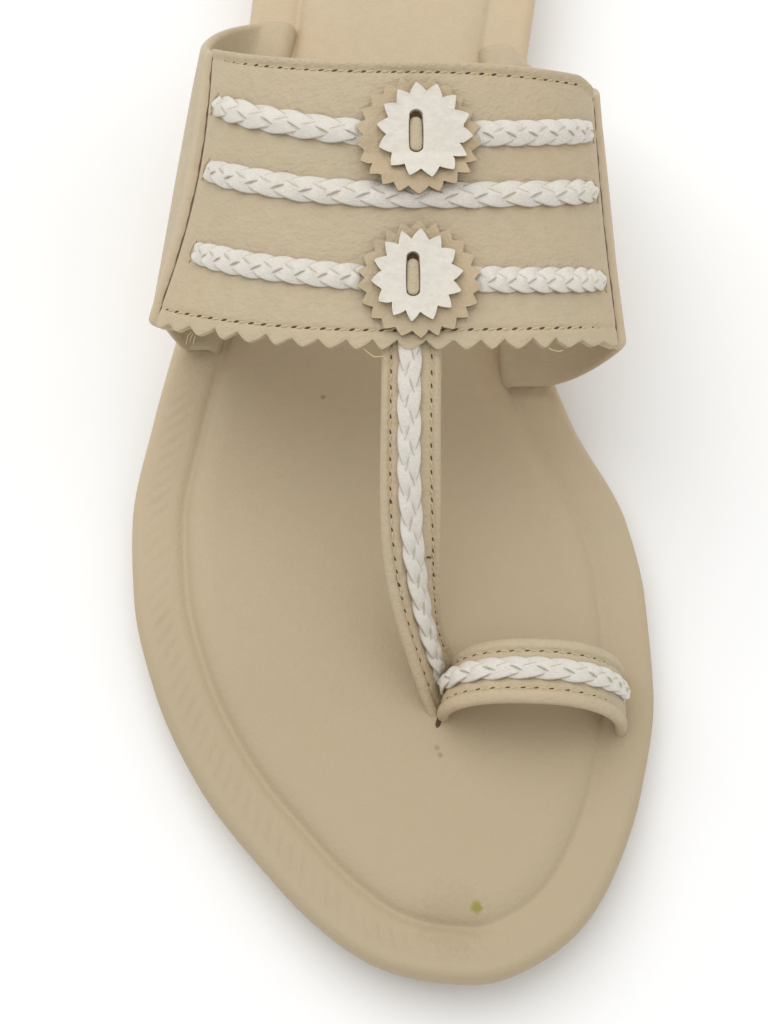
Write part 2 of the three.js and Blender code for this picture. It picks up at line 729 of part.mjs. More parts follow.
// Frame function of a row of braid on the band between two stations
function bandBraidFrame(row, from, to) {
  return (s, side, height) => {
    const length = lerp(from, to, s);
    const whole = lengthToStation(seamStation(length < 0 ? "lateral" : "medial", row.crown), row.crown);
    const end = length < 0 ? row.lateral : row.medial;
    const w = lerp(row.crown, end, clamp(length / whole, 0, 1) ** 1.4);
    const frame = bandFrame(stationAtLength(length, w), w + bandShare(side));
    return offsetPoint(frame, height);
  };
}

// Where a row of braid starts and stops, in millimetres round the band from the crown line
function braidReach(row) {
  return {
    from: lengthToStation(seamStation("lateral", row.crown), row.crown) + braidEndMargin,
    to: lengthToStation(seamStation("medial", row.crown), row.crown) - braidEndMargin
  };
}

function rosetteOffset(rosette) {
  return (rosette.x - lerp(bandEdges.front.crownX, bandEdges.back.crownX, rosette.row)) * halfBall;
}

function makeBandBraid(row, from, to) {
  return braidGeometry(bandBraidFrame(row, from, to), to - from, gap + panelThickness, braidWidth);
}

function makeCentreBraid() {
  const first = (bandInset + 3 * gap) / centrePath.curve.getLength();
  const last = 0.91;
  const length = centrePath.curve.getLength() * (last - first);
  const half = centreStrapWidth / 2;
  const frameAt = (s, side, height) => {
    const frame = centreStrapFrame(lerp(first, last, s), side / half);
    return offsetPoint(frame, height);
  };
  return braidGeometry(frameAt, length, 0, narrowBraidWidth);
}

function makeLoopBraid() {
  const first = 0.08;
  const last = 0.94;
  const face = (s) => toeLoopFace(lerp(first, last, s), 0.5);
  let length = 0;
  for (let i = 0; i < 20; i += 1) length += face(i / 20).distanceTo(face((i + 1) / 20));
  const frameAt = (s, side, height) => {
    const frame = loopFrame(lerp(first, last, s), 0.5 + side / toeLoopWidth);
    return offsetPoint(frame, height);
  };
  return braidGeometry(frameAt, length, 0, narrowBraidWidth);
}

// Spot on the face panel at millimetres across and along from a rosette's centre
function rosetteSpot(rosette, across, along, height) {
  const w = rosette.row + bandShare(along);
  const u = stationAtLength(rosetteOffset(rosette) + across, rosette.row);
  return offsetPoint(bandFrame(u, w), height);
}

const panelTop = gap + panelThickness;

// A disc rides up over the middle row of braid where its rim reaches that row
function discLift(rosette, along) {
  const flat = panelTop + gap;
  const reach = (braidRows.middle.crown - rosette.row) / bandShare(1);
  const clearTo = Math.abs(reach) - braidWidth / 2 - 2 * gap;
  if (clearTo > discDiameter / 2) return flat;
  const into = along * Math.sign(reach) - (clearTo - discRamp);
  return flat + (braidHeight + gap) * THREE.MathUtils.smoothstep(into, 0, discRamp);
}

function makeDisc(rosette) {
  const count = discTeeth * 2;
  const radii = [0, 0.35, 0.6, 0.8, 1];
  const point = (i, j, top) => {
    const angle = (i / count) * 2 * Math.PI;
    const tooth = j === radii.length - 1 && i % 2 === 1 ? 1 - discNotch : 1;
    const radius = (discDiameter / 2) * radii[j] * tooth;
    const along = radius * Math.sin(angle);
    const height = discLift(rosette, along) + (top ? discThickness : 0);
    return rosetteSpot(rosette, radius * Math.cos(angle), along, height);
  };
  const ring = (j, top) => Array.from({ length: count }, (_, i) => point(i, j, top));
  const under = radii.map((_, j) => ring(j, false));
  const over = radii.map((_, j) => ring(j, true)).reverse();
  return ringSolid([...under, ...over]);
}

// A star is a pinked ring round an oblong slot, so its rings run from the slot out to the teeth
function makeStar(rosette) {
  const count = starTeeth * 2;
  const slotHalf = (starSlotLength - starSlotWidth) / 2;
  const point = (i, share, height) => {
    const angle = (i / count) * 2 * Math.PI;
    const tooth = i % 2 === 1 ? 1 - starNotch : 1;
    const radius = (starDiameter / 2) * tooth;
    const rim = { x: radius * Math.cos(angle), y: radius * Math.sin(angle) };
    const end = clamp(Math.sin(angle) * 2.4, -1, 1) * slotHalf;
    const hole = { x: Math.cos(angle) * starSlotWidth / 2, y: end + Math.sin(angle) * starSlotWidth / 2 };
    const across = lerp(hole.x, rim.x, share);
    const along = lerp(hole.y, rim.y, share);
    return rosetteSpot(rosette, across, along, height + discLift(rosette, along));
  };
  const ring = (share, height) => Array.from({ length: count }, (_, i) => point(i, share, height));
  const low = discThickness + gap;
  const high = low + starThickness;
  const shares = [0, 0.4, 0.7, 1];
  const under = shares.map((share) => ring(share, low));
  const over = shares.map((share) => ring(share, high)).reverse();
  return ringSolid([...under, ...over, under[0]]);
}

function makeBar(rosette) {
  const rows = [-1, -0.8, 0, 0.8, 1];
  const columns = [-1, -0.5, 0, 0.5, 1];
  const rest = discThickness + gap;
  const at = (top) => (i, j) => {
    const narrow = Math.abs(rows[i]) === 1 ? 0.55 : 1;
    const across = (columns[j] * barWidth / 2) * narrow;
    const along = (rows[i] * barLength) / 2;
    const crown = Math.abs(columns[j]) === 1 ? 0.45 : 1;
    const height = top ? rest + barHeight * crown * (narrow < 1 ? 0.7 : 1) : rest;
    return rosetteSpot(rosette, across, along - barDrop, discLift(rosette, along) + height);
  };
  const low = grid(rows.length, columns.length, at(false));
  const high = grid(rows.length, columns.length, at(true));
  return sheetGeometry(low, high);
}

const sandal = new THREE.Group();

function addPiece(name, geometry, material) {
  const mesh = new THREE.Mesh(geometry, material);
  mesh.name = name;
  sandal.add(mesh);
}

addPiece("outsole", makeOutsole(), moulded);
addPiece("footbed", makeFootbed(), footbedLeather);
addPiece("strap_upper", makeUpper(), beigeLeather);
addPiece("band_panel", makePanel(), beigeLeather);

for (const name of ["back", "front"]) {
  const rosette = rosettes[name];
  const row = braidRows[name];
  const reach = braidReach(row);
  const centre = rosetteOffset(rosette);
  const clear = discDiameter / 2 + gap;
  addPiece(`band_braid_${name}_lateral`, makeBandBraid(row, reach.from, centre - clear), whiteLeather);
  addPiece(`band_braid_${name}_medial`, makeBandBraid(row, centre + clear, reach.to), whiteLeather);
  addPiece(`rosette_disc_${name}`, makeDisc(rosette), beigeLeather);
  addPiece(`rosette_star_${name}`, makeStar(rosette), whiteLeather);
  addPiece(`rosette_bar_${name}`, makeBar(rosette), beigeLeather);
}
const middleReach = braidReach(braidRows.middle);
const middleBraid = makeBandBraid(braidRows.middle, middleReach.from, middleReach.to);
addPiece("band_braid_middle", middleBraid, whiteLeather);
addPiece("centre_braid", makeCentreBraid(), whiteLeather);
addPiece("toe_loop_braid", makeLoopBraid(), whiteLeather);

export default sandal;
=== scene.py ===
import math

import bmesh
import bpy
import numpy as np
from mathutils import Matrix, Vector


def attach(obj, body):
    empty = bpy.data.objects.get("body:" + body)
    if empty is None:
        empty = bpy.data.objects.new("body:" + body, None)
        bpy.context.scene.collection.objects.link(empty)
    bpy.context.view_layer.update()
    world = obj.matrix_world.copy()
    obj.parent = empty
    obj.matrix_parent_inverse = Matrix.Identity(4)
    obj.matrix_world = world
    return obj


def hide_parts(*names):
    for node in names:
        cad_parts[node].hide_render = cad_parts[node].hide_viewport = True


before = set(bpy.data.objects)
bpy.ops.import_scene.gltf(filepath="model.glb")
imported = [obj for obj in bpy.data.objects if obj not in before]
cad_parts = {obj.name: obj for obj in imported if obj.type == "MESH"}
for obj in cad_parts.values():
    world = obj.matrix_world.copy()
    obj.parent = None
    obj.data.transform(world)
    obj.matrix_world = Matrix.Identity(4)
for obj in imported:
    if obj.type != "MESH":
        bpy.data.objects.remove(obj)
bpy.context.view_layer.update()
rng = np.random.default_rng(7)
metre = 0.001
turnFull = 2 * math.pi
print("frame loaded")

# Sizes of the sole, as in the CAD
sole = dict(
    length=250, halfBall=46.5, outsole=3.3, spring=4.4, heel=9.5, arch=4.2, bed=4.8, inset=1.2,
    borderLateral=9.4, borderMedial=8.2, pad=1.8, gap=0.3)
outline = np.array([
    [0, 0.3, 0.3], [0.008, 0.01, 0.47], [0.04, -0.26, 0.7], [0.08, -0.46, 0.83], [0.14, -0.705, 0.94],
    [0.21, -0.885, 1], [0.28, -0.98, 0.985], [0.34, -1, 0.925], [0.42, -0.935, 0.725], [0.5, -0.84, 0.6],
    [0.6, -0.71, 0.555], [0.7, -0.62, 0.57], [0.8, -0.57, 0.635], [0.88, -0.565, 0.65], [0.95, -0.45, 0.54],
    [1, 0.045, 0.045]])
springRows = np.array([[0, 1], [0.06, 0.56], [0.13, 0.18], [0.21, 0], [1, 0]])
liftRows = np.array([
    [0, 0], [0.42, 0], [0.52, 0.13], [0.62, 0.42], [0.72, 0.74], [0.82, 0.94], [0.92, 1], [1, 1.02]])
floorSpring = np.array([[0, 1], [0.06, 0.53], [0.13, 0.14], [0.2, 0], [1, 0]])
floorArch = np.array([
    [0, 0], [0.44, 0], [0.56, 0.45], [0.64, 0.85], [0.69, 1], [0.71, 0], [0.94, 0], [1, 0.28]])


def lerp(a, b, t):
    return a + (b - a) * t


def smooth(a, b, x):
    t = np.clip((x - a) / (b - a), 0, 1)
    return t * t * (3 - 2 * t)


def hump(x, centre, width):
    return np.exp(-(((x - centre) / width) ** 2))


def unit(v):
    return v / np.maximum(np.linalg.norm(v, axis=-1, keepdims=True), 1e-9)


def paired(a, b):
    return np.stack(np.broadcast_arrays(a, b), -1)


# Length along a path up to each of its points
def pathLength(points):
    return np.concatenate([[0], np.cumsum(np.linalg.norm(np.diff(points, axis=0), axis=1))])


# Values given at the points of a path, taken at other lengths along it
def resample(values, along, at):
    return np.stack([np.interp(at, along, column) for column in values.T], -1)


# Points round a section: across * cosine + up * sine
def circleOf(across, up, cosine, sine):
    return across[..., None, :] * cosine[..., None] + up[..., None, :] * sine[..., None]


# Smooth value of a table, whose slopes never overshoot the rows
def tableValue(xs, ys, at):
    slopes = np.diff(ys) / np.diff(xs)
    before, after = slopes[:-1], slopes[1:]
    both = before * after > 0
    inner = np.where(both, 2 * before * after / np.where(both, before + after, 1), 0)
    tangents = np.concatenate([slopes[:1], inner, slopes[-1:]])
    x = np.clip(at, xs[0], xs[-1])
    i = np.clip(np.searchsorted(xs, x) - 1, 0, len(xs) - 2)
    run = xs[i + 1] - xs[i]
    t = (x - xs[i]) / run
    return ((2 * t**3 - 3 * t**2 + 1) * ys[i] + (t**3 - 2 * t**2 + t) * run * tangents[i]
            + (3 * t**2 - 2 * t**3) * ys[i + 1] + (t**3 - t**2) * run * tangents[i + 1])


def yOf(share):
    return (share - 0.5) * sole["length"]


def shareAt(y):
    return np.clip(y / sole["length"] + 0.5, 0, 1)


def bedBottom(y):
    share = shareAt(y)
    return (sole["outsole"] + sole["spring"] * tableValue(*springRows.T, share)
            + sole["heel"] * tableValue(*liftRows.T, share))


def outsoleBottom(y):
    share = shareAt(y)
    return sole["spring"] * tableValue(*floorSpring.T, share) + sole["arch"] * tableValue(*floorArch.T, share)


def borderTop(y):
    return bedBottom(y) + sole["bed"]


# Mesh making: a shell is (points, faces, uv), and a piece is a list of shells
def gridFaces(rows, columns, closedRows=False, closedColumns=False):
    i = np.arange(rows if closedRows else rows - 1)
    j = np.arange(columns if closedColumns else columns - 1)
    a, b = np.meshgrid(i, j, indexing="ij")
    c, d = (a + 1) % rows, (b + 1) % columns
    return np.stack([a * columns + b, c * columns + b, c * columns + d, a * columns + d], -1).reshape(-1, 4)


# Closed shell from rings of points: rings[k] joins to the next one, and each end closes on its middle
def tubeShell(rings, uv=None, capped=True):
    count, around = rings.shape[:2]
    points = rings.reshape(-1, 3)
    faces = gridFaces(count, around, closedColumns=True).tolist()
    if not capped:
        return points, faces, uv.reshape(-1, 2)
    ends = np.stack([rings[0].mean(0), rings[-1].mean(0)])
    j = np.arange(around)
    k = (j + 1) % around
    first, last = len(points), len(points) + 1
    base = (count - 1) * around
    faces += np.stack([np.full(around, first), j, k], -1).tolist()
    faces += np.stack([np.full(around, last), base + k, base + j], -1).tolist()
    if uv is None:
        uv = np.zeros((count, around, 2))
    flat = np.concatenate([uv.reshape(-1, 2), uv[0].mean(0)[None], uv[-1].mean(0)[None]])
    return np.concatenate([points, ends]), faces, flat


def addPiece(name, shells, materials, nodes=(), sharp=40, materialOf=None):
    points, faces, uv, indices = [], [], [], []
    start = 0
    for number, (shellPoints, shellFaces, shellUv) in enumerate(shells):
        points.append(shellPoints)
        faces += [[start + i for i in face] for face in shellFaces]
        uv.append(shellUv)
        indices += list(np.broadcast_to(materialOf[number] if materialOf else 0, len(shellFaces)))
        start += len(shellPoints)
    mesh = bpy.data.meshes.new(name)
    mesh.from_pydata((np.concatenate(points) * metre).tolist(), [], faces)
    for made in materials:
        mesh.materials.append(made)
    mesh.polygons.foreach_set("material_index", indices)
    layer = mesh.uv_layers.new(name="UVMap")
    corners = np.zeros(len(mesh.loops), np.int32)
    mesh.loops.foreach_get("vertex_index", corners)
    layer.data.foreach_set("uv", np.concatenate(uv)[corners].astype(np.float32).ravel())
    mesh.polygons.foreach_set("use_smooth", [True] * len(mesh.polygons))
    turnOutward(mesh)
    piece = bpy.data.objects.new(name, mesh)
    bpy.context.scene.collection.objects.link(piece)
    mesh.set_sharp_from_angle(angle=math.radians(sharp))
    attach(piece, "root")
    if nodes:
        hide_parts(*nodes)
    return piece


# Faces of a closed shell are turned to look outward
def turnOutward(mesh):
    work = bmesh.new()
    work.from_mesh(mesh)
    bmesh.ops.remove_doubles(work, verts=work.verts, dist=1e-6)
    bmesh.ops.recalc_face_normals(work, faces=work.faces)
    work.to_mesh(mesh)
    work.free()


# Materials: every one has its own colour variation, roughness and bump from nodes
def linear(colour):
    c = np.array(colour) / 255
    return (*np.where(c <= 0.04045, c / 12.92, ((c + 0.055) / 1.055) ** 2.4), 1)


class Nodes:
    def __init__(self, name):
        self.made = bpy.data.materials.new(name)
        self.made.use_nodes = True
        self.tree = self.made.node_tree
        self.shader = next(n for n in self.tree.nodes if n.type == "BSDF_PRINCIPLED")
        self.coordinates = self.tree.nodes.new("ShaderNodeTexCoord")

    def add(self, kind, inputs=None, **settings):
        made = self.tree.nodes.new("ShaderNode" + kind)
        for key, value in settings.items():
            setattr(made, key, value)
        for key, value in (inputs or {}).items():
            if isinstance(value, bpy.types.NodeSocket):
                self.tree.links.new(value, made.inputs[key])
            else:
                made.inputs[key].default_value = value
        return made

    def noise(self, source, scale, detail=3, rough=0.55):
        made = self.add("TexNoise", {"Vector": source, "Scale": scale, "Detail": detail, "Roughness": rough})
        return made.outputs[0]

    def ramp(self, value, low, high, toLow=0.0, toHigh=1.0):
        inputs = {"Value": value, "From Min": low, "From Max": high, "To Min": toLow, "To Max": toHigh}
        return self.add("MapRange", inputs).outputs[0]

    def math(self, operation, a, b=0.0, c=0.0):
        made = self.add("Math", {0: a, 1: b, 2: c}, operation=operation)
        return made.outputs[0]

    def mix(self, share, a, b):
        made = self.add("Mix", {"Factor": share, 6: a, 7: b}, data_type="RGBA")
        return made.outputs[2]

    def stretch(self, source, scale, turn=(0, 0, 0)):
        return self.add("Mapping", {"Vector": source, "Scale": scale, "Rotation": turn}).outputs[0]

    def bump(self, height, distance, strength=1.0, after=None):
        inputs = {"Height": height, "Distance": distance, "Strength": strength}
        if after is not None:
            inputs["Normal"] = after
        return self.add("Bump", inputs).outputs[0]

    def link(self, output, name):
        self.tree.links.new(output, self.shader.inputs[name])


def leather(name, base, warm, dark, rough=0.55, grain=0.00006, crinkle=0.00012, spotsAndShade=(),
            rollTintAndHighlight=None, toeShade=None):
    n = Nodes(name)
    place = n.coordinates.outputs["Object"]
    patches = n.ramp(n.noise(place, 45, 3), 0.42, 0.66)
    mottle = n.ramp(n.noise(place, 420, 4, 0.6), 0.3, 0.75)
    colour = n.mix(n.math("MULTIPLY", patches, 0.5), linear(base), linear(warm))
    colour = n.mix(n.math("MULTIPLY", mottle, 0.28), colour, linear(dark))
    # Painted shade: the colour darkens towards the toe, standing for the light falling off away from the key
    # light on the heel side
    if toeShade:
        alongFoot = n.add("SeparateXYZ", {0: place}).outputs[1]
        colour = n.mix(n.ramp(alongFoot, 0.0, -0.075), colour, linear(toeShade))
    # Spots: real stains and dots, and soft spots of painted shade
    for at, size, most, tint in spotsAndShade:
        toSpot = n.add("VectorMath", {0: place, 1: at}, operation="DISTANCE").outputs["Value"]
        wobble = n.math("MULTIPLY_ADD", n.noise(place, 900, 2), size * 1.2, -size * 0.6)
        share = n.ramp(n.math("ADD", toSpot, wobble), size, size * 0.5, 0, most)
        colour = n.mix(share, colour, linear(tint))
    # Lighter, warmer tone on the roll just outside each seam: partly the lining's own pinker tone, partly a
    # painted highlight on the roll
    if rollTintAndHighlight:
        beyond = n.add("SeparateXYZ", {0: n.coordinates.outputs["UV"]}).outputs[0]
        near = n.math("MULTIPLY", n.ramp(beyond, -0.6, 0.1), n.ramp(beyond, 4.5, 0.8, 0, 0.5))
        colour = n.mix(near, colour, linear(rollTintAndHighlight))
    n.link(colour, "Base Color")
    n.link(n.ramp(mottle, 0, 1, rough - 0.05, rough + 0.08), "Roughness")
    n.shader.inputs["Specular IOR Level"].default_value = 0.4
    cells = n.add("TexVoronoi", {"Vector": place, "Scale": 1500}, feature="F1").outputs["Distance"]
    fine = n.bump(cells, grain)
    folds = n.noise(n.stretch(place, (1, 1.9, 1.4)), 520, 4, 0.68)
    n.link(n.bump(folds, crinkle, 1, fine), "Normal")
    return n.made


# White leather: creases run along the strand (first UV axis, millimetres) with short ones across it
def whiteLeather(name, useUv):
    n = Nodes(name)
    place = n.coordinates.outputs["Object"]
    if useUv:
        along = n.stretch(n.coordinates.outputs["UV"], (0.5, 2.2, 1))
        across = n.stretch(n.coordinates.outputs["UV"], (2.4, 0.8, 1), (0, 0, 0.5))
        lines, cross = n.noise(along, 2.6, 4, 0.65), n.noise(across, 1.3, 3, 0.6)
    else:
        lines = n.noise(n.stretch(place, (1, 1.5, 1), (0, 0, 0.3)), 620, 5, 0.65)
        cross = n.noise(n.stretch(place, (1.9, 1, 1), (0, 0, 0.9)), 420, 4, 0.65)
    shade = n.ramp(lines, 0.3, 0.7)
    low, high = ((224, 217, 204), (246, 243, 236)) if useUv else ((210, 203, 190), (230, 225, 216))
    colour = n.mix(n.math("MULTIPLY", shade, 0.55), linear(low), linear(high))
    colour = n.mix(n.ramp(n.noise(place, 160, 3), 0.5, 0.75, 0, 0.35), colour, linear((222, 210, 186)))
    if useUv:
        # Strand edges darken towards brown: partly the strip's cut-edge colour, partly painted shade in the
        # gaps between strands
        strandEdgeAndGapShade = n.math("ABSOLUTE", n.add("SeparateXYZ", {0: n.coordinates.outputs["UV"]}).outputs[1])
        colour = n.mix(n.ramp(strandEdgeAndGapShade, 1.2, 1.5, 0, 0.7), colour, linear((166, 150, 124)))
    n.link(colour, "Base Color")
    n.link(n.ramp(shade, 0, 1, 0.52, 0.4), "Roughness")
    first = n.bump(lines, 0.00022)
    n.link(n.bump(cross, 0.00016, 1, first), "Normal")
    return n.made


def plain(name, base, dark, rough, scale, depth):
    n = Nodes(name)
    place = n.coordinates.outputs["Object"]
    value = n.noise(place, scale, 4, 0.6)
    n.link(n.mix(n.ramp(value, 0.3, 0.75), linear(base), linear(dark)), "Base Color")
    n.shader.inputs["Roughness"].default_value = rough
    n.link(n.bump(value, depth), "Normal")
    return n.made


# Rows are (place in metres, radius, share, colour): a stain, dots and, last, a soft spot of painted shade
# along the crease inside the toe
footStainsAndShade = [
    ((0.0145, -0.1129, 0.0125), 0.0012, 0.9, (142, 138, 50)),
    ((-0.0121, -0.0166, 0.01), 0.0006, 0.6, (140, 120, 90)),
    ((0.0083, -0.0843, 0.0103), 0.0007, 0.6, (146, 128, 96)),
    ((0.0088, -0.0858, 0.0104), 0.0006, 0.7, (146, 128, 96)),
    ((0.0296, -0.1006, 0.0113), 0.0006, 0.5, (146, 128, 96)),
    ((0.0105, -0.1148, 0.0118), 0.0075, 0.16, (140, 120, 88))]
beige = leather("strap_leather", (190, 175, 146), (198, 175, 143), (172, 156, 126),
                grain=0.00009, crinkle=0.0003)
# Lining leather; rollTintAndHighlight lightens the rolls by the seams, partly as a painted highlight
liningLeather = leather("lining_leather", (190, 175, 146), (199, 176, 144), (172, 156, 126),
                        rollTintAndHighlight=(200, 180, 150))
discLeather = leather("rosette_leather", (188, 170, 139), (198, 172, 138), (162, 144, 114),
                      grain=0.0001, crinkle=0.00022)
# Footbed leather; toeShade is the colour of the painted shade at the toe end
footLeather = leather("footbed_leather", (200, 183, 153), (206, 182, 150), (187, 170, 140),
                      rough=0.6, crinkle=0.00004, spotsAndShade=footStainsAndShade, toeShade=(179, 162, 132))
braidLeather = whiteLeather("braid_leather", True)
starLeather = whiteLeather("star_leather", False)
rubber = plain("sole_rubber", (186, 166, 134), (168, 148, 116), 0.75, 1400, 0.00008)
threadCotton = plain("thread_cotton", (214, 196, 158), (184, 160, 116), 0.75, 4000, 0.00005)
# Painted shade: dark brown for the needle holes, the slot ends behind the bars, the nick and the footbed
# slot, standing for the shade inside them
paintedHoleShade = plain("hole_shade", (96, 74, 48), (66, 48, 30), 0.9, 2000, 0.00002)
# Painted shadow: dark brown for the cords along the face panel's seams
seamShadow = plain("seam_shadow", (118, 94, 66), (84, 62, 40), 0.9, 900, 0.00005)
# Rims of the discs and stars: partly the raw cut edge's own colour, partly painted shade darkened to outline
# the rims
cutEdgeAndShade = plain("cut_edge_and_shade", (150, 128, 96), (122, 98, 70), 0.85, 1500, 0.00008)
print("materials made")

# Ring of the outline at even steps: x = halfBall * share(turn), y = length * ((1 - cos turn) / 2 - 1/2)
halfBall = sole["halfBall"]
halfCount = 650
dense = np.linspace(0, math.pi, 3001)
outlineTurn = np.arccos(1 - 2 * outline[:, 0])


# One side of the outline at even steps of its own length, from toe to heel
def outlineSide(values):
    xy = np.stack([halfBall * tableValue(outlineTurn, values, dense), yOf((1 - np.cos(dense)) / 2)], -1)
    length = pathLength(xy)
    return resample(xy, length, np.linspace(0, length[-1], halfCount + 1))


lateralLine, medialLine = outlineSide(outline[:, 1]), outlineSide(outline[:, 2])
ring = np.concatenate([medialLine, lateralLine[-2:0:-1]])
ringSteps = np.linalg.norm(np.diff(ring, axis=0, append=ring[:1]), axis=1)
perimeter = ringSteps.sum()
ringLength = np.cumsum(ringSteps) - ringSteps[0]
normalStep, smoothReach = 4, 16
spineEnds = 0.15, 0.89
ahead = np.roll(ring, -normalStep, 0) - np.roll(ring, normalStep, 0)
ringNormal = unit(np.stack([ahead[:, 1], -ahead[:, 0]], -1))
window = np.hanning(2 * smoothReach + 1)
window = window / window.sum()
padded = np.concatenate([ringNormal[-smoothReach:], ringNormal, ringNormal[:smoothReach]])
ringNormal = unit(np.stack([np.convolve(padded[:, k], window, "valid") for k in (0, 1)], -1))
ringBorder = lerp(sole["borderLateral"], sole["borderMedial"], (ringNormal[:, 0] + 1) / 2)
pairY = (lateralLine[:, 1] + medialLine[:, 1]) / 2
spineShare = np.clip(shareAt(np.concatenate([pairY, pairY[-2:0:-1]])), *spineEnds)
spineTurn = np.arccos(1 - 2 * spineShare)
spineX = sum(tableValue(outlineTurn, outline[:, k], spineTurn) for k in (1, 2)) / 2
ringSpine = np.stack([spineX * halfBall, yOf(spineShare)], -1)


# Rings of a sole piece: profile rows are (inset, share of the border added, share of the way to the spine)
def soleRings(insets, borders, toSpine):
    distance = insets[:, None] + borders[:, None] * ringBorder[None]
    edge = ring[None] - ringNormal[None] * distance[..., None]
    return lerp(edge, ringSpine[None], toSpine[:, None, None]), distance


# Footbed: bottom, rounded edge, flat border with a rope pattern, crease and padded middle.
# Height = bedBottom(y) + level(profile) - crease + rope, rope = depth * wave((length + inset) / pitch).
# Profile rows are (inset, share of the border added, share of the way to the spine, level)
footbed = dict(
    lowerRadius=0.8, upperRadius=2.1, sideBulge=0.12, crownBulge=0.15, overlap=0.8, fold=0.5, rise=5.2,
    crease=0.5, creaseWidth=0.85, ropePitch=3.1, ropeDepth=0.26, ropeFrom=2.7, ropeTo=6.4,
    ropeHeel=60, ropeWhole=20, patches=120)
low, high, fold = footbed["lowerRadius"], footbed["upperRadius"], footbed["fold"]
bed, padTop = sole["bed"], sole["bed"] + sole["pad"]
bulge = footbed["sideBulge"]
arc = np.linspace(0, math.pi / 2, 8)
profile = [(low, 0, share, 0) for share in (1, 0.8, 0.5, 0.2, 0.05)]
profile += [(low * (1 - math.sin(a)), 0, 0, low * (1 - math.cos(a))) for a in arc[::2]]
profile += [(-bulge * math.sin(math.pi * t), 0, 0, lerp(low, bed - high, t)) for t in (0.3, 0.7)]
profile += [(high * (1 - math.cos(a)), 0, 0, bed - high + high * math.sin(a)) for a in arc]
profile += [(high * (1 - t) - footbed["overlap"] * t, t, 0, bed + bulge * math.sin(math.pi * t))
            for t in np.linspace(0.08, 1, 13)]
profile += [(fold * t, 1, 0, bed) for t in (-1, -0.5, 0, 0.5, 1)]
profile += [(fold + t * footbed["rise"], 1, 0, bed + sole["pad"] * (math.sin(t * math.pi / 2) ** 0.8))
            for t in np.linspace(0.09, 1, 11)]
profile += [(fold + footbed["rise"], 1, t, padTop + footbed["crownBulge"] * math.sin(math.pi * t))
            for t in np.linspace(0.06, 1, 13) ** 0.9]
profile = np.array(profile)
border, inward, height = (profile[:, k][:, None] for k in (1, 2, 3))
plan, distance = soleRings(*profile[:, :3].T)
lateralSide = smooth(0.5, -0.2, ringNormal[:, 0])
crease = footbed["crease"] * hump(distance - ringBorder[None], 0, footbed["creaseWidth"])
level = height - crease * lerp(0.25, 1, lateralSide[None]) * (border > 0.5) * (inward == 0)
ropePitch = perimeter / round(perimeter / footbed["ropePitch"])
wave = np.sin(turnFull * (ringLength[None] + distance) / ropePitch)
inRope = smooth(footbed["ropeFrom"] - 0.5, footbed["ropeFrom"] + 0.7, distance)
inRope = inRope * (1 - smooth(footbed["ropeTo"] - 1, footbed["ropeTo"] + 0.4, distance))
inRope = inRope * (inward == 0) * (height >= bed - 0.3)
patchAt = np.linspace(0, perimeter, footbed["patches"])
patchy = np.interp(ringLength, patchAt, rng.uniform(0.3, 1, footbed["patches"]))
ropeShare = patchy * lerp(0.2, 1, lateralSide) * smooth(footbed["ropeHeel"], footbed["ropeWhole"], ring[:, 1])
level = level + footbed["ropeDepth"] * inRope * ropeShare[None] * np.clip(wave, -0.6, 1)
rings = np.concatenate([plan, (bedBottom(plan[..., 1]) + level)[..., None]], -1)
uv = paired(ringLength[None], distance + 30 * inward)
addPiece("footbed_wrapped", [tubeShell(rings, uv, False)], [footLeather], ["footbed"])
print("footbed made")

# Outsole: rounded lower edge, a side that leans in a little, and the arch and heel breast underneath
outsole = dict(round=1.1, hollow=0.1, leastSide=0.6)
inset, curve = sole["inset"], outsole["round"]
arc = np.linspace(0, math.pi / 2, 6)
rows = [(inset + curve, t, 0, 0) for t in np.linspace(1, 0, 14) ** 1.2]
rows += [(inset + curve * (1 - math.sin(a)), 0, 0, curve * (1 - math.cos(a))) for a in arc[1:]]
rows += [(inset + outsole["hollow"] * math.sin(math.pi * t), 0, t, curve) for t in np.linspace(0.15, 1, 7)]
rows += [(inset, t, 1, 0) for t in np.linspace(0.1, 1, 6)]
rows = np.array(rows)
plan, distance = soleRings(rows[:, 0], np.zeros(len(rows)), rows[:, 1])
upSide, rounding = rows[:, 2][:, None], rows[:, 3][:, None]
topZ = bedBottom(plan[..., 1]) - sole["gap"]
lowZ = np.minimum(outsoleBottom(plan[..., 1]) + rounding, topZ - outsole["leastSide"])
height = np.where(upSide > 0, lerp(lowZ, topZ, upSide), lowZ)
rings = np.concatenate([plan, height[..., None]], -1)
uv = paired(ringLength[None], height)
addPiece("outsole_moulded", [tubeShell(rings, uv, False)], [rubber], ["outsole"])
print("outsole made")

# Band surface: station u from 0 (lateral slit) over 19 (crown) to 38 (medial slit), w from front to back.
# It leaves the slit round a fold, goes out over the border, up a quarter ellipse and over to the crown
bandRows = dict(
    lateralSlit=(-0.715, -0.42), lateralShare=(0.473, 0.75), lateralLean=(2.1, 1.05),
    medialSlit=(0.49, 0.42), medialShare=(0.443, 0.73), medialLean=(2, 0.54),
    lateralBulge=(-0.9, -0.72), medialBulge=(0.885, 0.8),
    lateralShoulder=(2.25, 2.25), medialShoulder=(2.25, 1.95),
    crownX=(0.08, 0.08), crownShare=(0.386, 0.567), bulgeRise=(0.6, 0.56), height=(42, 52))
strap = dict(
    thickness=2, fold=0.6, rest=3.6, inset=2.2, liningInset=0.6, crown=19, stations=38, clearance=0.1)
seamRows = dict(lateral=(0.2, 0.29, 0.09), medial=(0.24, 0.24, 0.03))
sideNames = "lateral", "medial"
shoulderStations = 9


